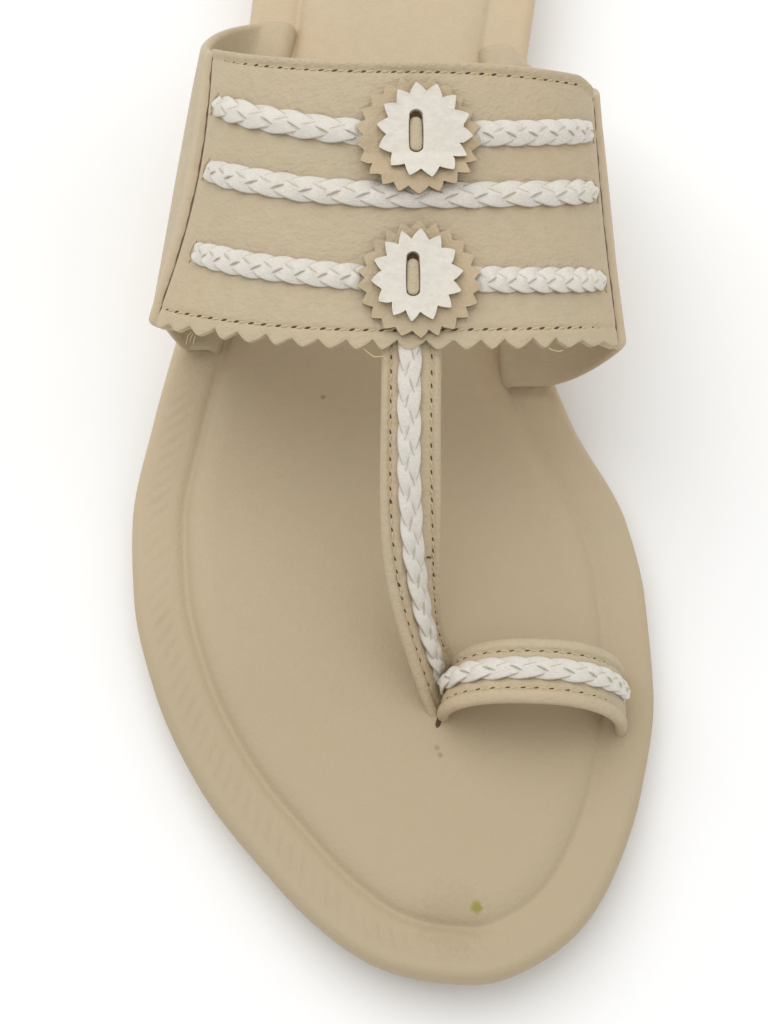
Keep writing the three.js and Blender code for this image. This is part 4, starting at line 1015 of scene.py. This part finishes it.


# Bar: a crowned strip in the slot, and a dark patch of painted shade at the end of the slot behind it
def addBar(name):
    rosette, place = rosettes[name], starPlace[name]
    slotX, slotY = place["across"] + place["slotAcross"], place["along"] + place["slotAlong"]
    u = np.linspace(-1, 1, 40)[:, None]
    angle = np.linspace(0, turnFull, 24, endpoint=False)[None]
    end = np.sqrt(np.clip(1 - np.abs(u) ** 6, 0.0004, 1))
    across = np.cos(angle) * bar["half"] * end + slotX
    along = u * (place["slot"] / 2 - bar["endGap"]) + 0 * angle + slotY - bar["shift"]
    height = disc["thickness"] + bar["height"] + bar["crown"] * np.sin(angle) * end - bar["tilt"] * u
    points = rosetteSpot(rosette, across, along, discLift(rosette, across, along) + height)
    shell = tubeShell(points, np.stack([across, along], -1))
    radius, level = np.array([(0.05, 0.09), (0.5, 0.09), (1, 0.08), (1, -0.05)]).T[..., None]
    across = np.cos(angle) * bar["holeHalf"] * radius + slotX
    along = np.sin(angle) * radius + slotY + place["slot"] / 2 - bar["holeInset"]
    height = discLift(rosette, across, along) + disc["thickness"] + level
    shells, looks = [shell, tubeShell(rosetteSpot(rosette, across, along, height))], [beige, paintedHoleShade]
    addPiece(f"bar_{name}", shells, looks, [f"rosette_bar_{name}"], materialOf=[0, 1])


for seed, name in enumerate(("back", "front")):
    addDisc(name, 20 + seed)
    addStar(name, 30 + seed)
    addBar(name)
print("rosettes made")


# Stitches along a path: each is a short round thread between two needle holes, slanted across the line.
# Thread point = path(s) + normal * (arch of the stitch) + side * slant, for all the stitches at once
def stitchShells(path, normal, stitch):
    along = pathLength(path)
    total = along[-1]
    count = round(total / stitch["pitch"])
    pitch = total / count
    starts = (np.arange(count) + 0.14) * pitch + rng.uniform(-0.08, 0.08, count) * pitch
    fromEnd = np.minimum(starts + stitch["fadeFirst"], total - starts + stitch["fadeLast"])
    fade = lerp(stitch["least"], 1, smooth(0, stitch["fadeRun"], fromEnd))
    tangents = np.gradient(path, axis=0)

    def frameAt(at):
        up, forward = unit(resample(normal, along, at)), unit(resample(tangents, along, at))
        return resample(path, along, at), up, forward, unit(np.cross(up, forward))

    local = np.linspace(0, 1, 9)
    spine, up, forward, side = frameAt(starts[:, None] + local[None] * pitch * stitch["cover"])
    rise = stitch["arch"] * np.sin(math.pi * local) ** 0.5 - stitch["sink"]
    spine = spine + up * rise[:, None] + side * ((local - 0.5) * stitch["slant"])[:, None]
    around = np.linspace(0, turnFull, 8, endpoint=False)
    radius = fade[:, None] * stitch["radius"] * lerp(0.45, 1, np.sin(math.pi * local) ** 0.4)[None]
    points = spine[:, :, None] + circleOf(side, up, np.cos(around), np.sin(around)) * radius[..., None, None]
    thread = [tubeShell(one) for one in points]
    # Needle holes: small dark discs of painted shade lying on the surface
    centre, up, forward, side = frameAt(starts - 0.1 * pitch)
    long = unit(forward + side * stitch["holeSlant"])
    short = unit(np.cross(up, long)) * stitch["holeShape"]
    radius, level = np.array([(0.05, 0.06), (0.6, 0.05), (0.92, 0.03), (1, -0.02), (0.8, -0.12)]).T
    size = stitch["hole"] * fade[:, None, None] * radius[None, :, None]
    circle = circleOf(long[:, None], short[:, None], np.cos(around) * size, np.sin(around) * size)
    points = centre[:, None, None] + circle
    holes = [tubeShell(one) for one in points + up[:, None, None] * level[None, :, None, None]]
    return thread, holes


pathSteps = 300
threadLift = 0.02


# Paths of stitch lines: on the face panel, on a narrow strap, and inside the leg at the big toe side
def panelPath(fromBack, distance, first, last):
    c = np.linspace(first, last, pathSteps)
    share = np.interp(c, column, round01)
    w = distance / np.interp(c, column, widthBack if fromBack else widthFront)
    w = 1 - w if fromBack else w
    u = panelStation(w, share)
    normal = bandNormal(u, w)
    return bandPoint(u, w) + normal * (panelTop - panel["trough"] + threadLift), normal


def strapPath(face, normalOf, first, last, across):
    at = np.linspace(first, last, pathSteps)
    where = np.full(pathSteps, across)
    normal = normalOf(at, where)
    return face(at, where) + normal * (threadLift - narrow["trough"]), normal


def legPath(first, last, distance):
    u = np.linspace(first, last, pathSteps)
    w = np.full(pathSteps, distance / crownLength)
    normal = -bandNormal(u, w)
    return bandPoint(u, w) + normal * (strap["thickness"] - 0.1), normal


stitchLook = dict(
    pitch=panel["stitchPitch"], cover=0.64, slant=0.34, radius=0.16, arch=0.26, sink=0.16, hole=0.62,
    holeShape=0.38, holeSlant=0.45, fadeFirst=9, fadeLast=9, fadeRun=9, least=0.35)
v = narrow["stitch"] / narrow["half"]
vLoop = narrow["stitch"] / toeLoop["width"]
stitchLines = [
    (panelPath(True, panel["backStitch"], 0.05, 0.985), dict(fadeFirst=0)),
    (panelPath(False, panel["frontStitch"], 0.03, 0.95), dict(fadeFirst=4, fadeLast=0)),
    (legPath(32.5, 27, 3), dict(radius=0.12, hole=0.45)),
    (strapPath(centreFace, centreNormal, 0.01, 0.95, -v), dict(slant=-0.28)),
    (strapPath(centreFace, centreNormal, 0.01, 0.97, v), {}),
    (strapPath(loopFace, loopNormal, 0.12, 0.8, 0.5 - vLoop), dict(fadeLast=0)),
    (strapPath(loopFace, loopNormal, 0.12, 0.8, 0.5 + vLoop), dict(slant=-0.28, fadeLast=0))]
threads, holes = [], []
for (path, normal), change in stitchLines:
    more = stitchShells(path, normal, {**stitchLook, **change})
    threads += more[0]
    holes += more[1]
addPiece("stitch_thread", threads, [threadCotton])
addPiece("hole_shades", holes, [paintedHoleShade])
print("stitches made")


# Round cord through given points
def cord(points, radius, steps=40):
    points = np.array(points, float)
    at = np.linspace(0, len(points) - 1, steps)
    spine = np.stack([tableValue(np.arange(len(points)) + 0.0, points[:, k], at) for k in range(3)], -1)
    forward = unit(np.gradient(spine, axis=0))
    side = unit(np.cross(forward, np.array([0.1, 0.2, 1.0])))
    around = np.linspace(0, turnFull, 8, endpoint=False)
    share = np.linspace(0, 1, steps)
    thin = (radius * np.minimum(1, 0.3 + 8 * np.minimum(share, 1 - share)))[:, None]
    circle = circleOf(side, np.cross(side, forward), thin * np.cos(around), thin * np.sin(around))
    return tubeShell(spine[:, None] + circle)


# Painted shadow: a dark cord along both seams of the face panel, standing for the shade in the crease there;
# rows are (side, offset beyond the seam, end)
seamShadowCord = dict(radius=0.27, height=0.45)
seams = []
for name, offset, last in (("lateral", -0.12, 0.985), ("medial", 0.12, 0.945)):
    w = np.linspace(0.02, last, 90)
    u = stationAt(lengthAt(seamStation(name, w), w) + offset, w)
    wobble = 0.05 * np.sin(w * 40) + 0.04 * np.sin(w * 97)
    path = bandPoint(u, w) + bandNormal(u, w) * seamShadowCord["height"] + np.array([1.0, 0, 0]) * wobble[:, None]
    seams.append(cord(path, seamShadowCord["radius"], 260))
addPiece("seam_shadows", seams, [seamShadow])


# Spot by the band's front edge, from the arc length, the millimetres ahead and the height over the panel
def edgeSpot(length, forward, height):
    w = -forward / crownLength
    u = stationAt(np.array(float(length)), np.array(w))
    return bandPoint(u, w) + bandNormal(u, w) * (panelTop + height)


# Loose threads under the front edge, a tuft of fibres at its left end, and two dark marks of painted shade: a
# short line in a nick by the centre plait, and a patch at the footbed slot by the toe post
looseThreads = [
    [(-8.4, -0.6, -0.9), (-7.2, 0.5, -0.8), (-6.0, 1.3, -0.5), (-4.8, 1.2, -0.4), (-4.0, 2.0, -0.6)],
    [(22.5, -0.8, -0.9), (23.4, 0.3, -0.5), (24.6, 0.7, -0.3), (25.6, 0.5, -0.4)]]
tuft = [[(-38 + a, -0.5, -0.9), (-38.2 + a * b, 0.5, -0.4), (-38.6 + a * 1.4, 1.1 + 0.5 * b, -0.5)]
        for a, b in ((-0.4, 1.6), (0.1, 0.6), (0.6, 1.3))]
loose = [cord([edgeSpot(*spot) for spot in thread], 0.09) for thread in looseThreads]
loose += [cord([edgeSpot(*spot) for spot in thread], 0.045, 16) for thread in tuft]
addPiece("loose_threads", loose, [threadCotton])
# Painted shade: a dark line in the nick on the centre strap, and a dark cord on the footbed where the toe
# post goes through its slot
nickT, nickV = np.array([0.6, 0.6, 0.603, 0.604]), np.array([0.4, 0.47, 0.53, 0.58])
nick = centreFace(nickT, nickV) + centreNormal(nickT, nickV) * 0.03
slotAt = postFoot - postAlong * 4.6 + np.array([0.35, 0, 0.1])
slotShade = [slotAt + postAlong * step for step in (-3.2, -1.1, 1.1, 3.2)]
addPiece("nick_and_slot_shade", [cord(nick, 0.16, 20), cord(slotShade, 0.5, 20)], [paintedHoleShade])
print("threads and marks made")

# Camera at the photograph's angle: 66 degrees above the floor, from the toe end
camera = bpy.data.objects.new("camera", bpy.data.cameras.new("camera"))
camera.data.lens = 81.56
camera.data.sensor_width = 36
camera.location = Vector((-0.87, -209.8, 391.8)) * metre
view = Vector((0, math.cos(math.radians(66)), -math.sin(math.radians(66))))
camera.rotation_mode = "QUATERNION"
camera.rotation_quaternion = view.to_track_quat("-Z", "Y")
camera.data.clip_start = 0.01
camera.data.clip_end = 20
bpy.context.scene.collection.objects.link(camera)
bpy.context.scene.camera = camera

# Floor and soft studio light
floorMesh = bpy.data.meshes.new("floor")
floorMesh.from_pydata([(-4, -4, 0), (4, -4, 0), (4, 4, 0), (-4, 4, 0)], [], [(0, 1, 2, 3)])
floorMesh.materials.append(plain("floor_paint", (250, 250, 249), (246, 246, 245), 0.9, 6, 0.0001))
floor = bpy.data.objects.new("floor", floorMesh)
bpy.context.scene.collection.objects.link(floor)


def areaLight(name, place, size, power):
    data = bpy.data.lights.new(name, "AREA")
    data.size = size
    data.energy = power
    light = bpy.data.objects.new(name, data)
    light.location = place
    light.rotation_mode = "QUATERNION"
    light.rotation_quaternion = (Vector((0, 0, 0.03)) - Vector(place)).to_track_quat("-Z", "Y")
    bpy.context.scene.collection.objects.link(light)


areaLight("key", (-0.3, 0.3, 0.95), 1.2, 5.9)
areaLight("fill", (0.9, -0.1, 1.2), 1.5, 2.6)
world = bpy.data.worlds.new("studio")
world.use_nodes = True
world.node_tree.nodes["Background"].inputs["Color"].default_value = (1, 1, 1, 1)
world.node_tree.nodes["Background"].inputs["Strength"].default_value = 0.71
bpy.context.scene.world = world
bpy.context.scene.view_settings.view_transform = "Standard"
print("camera, floor and lights made")
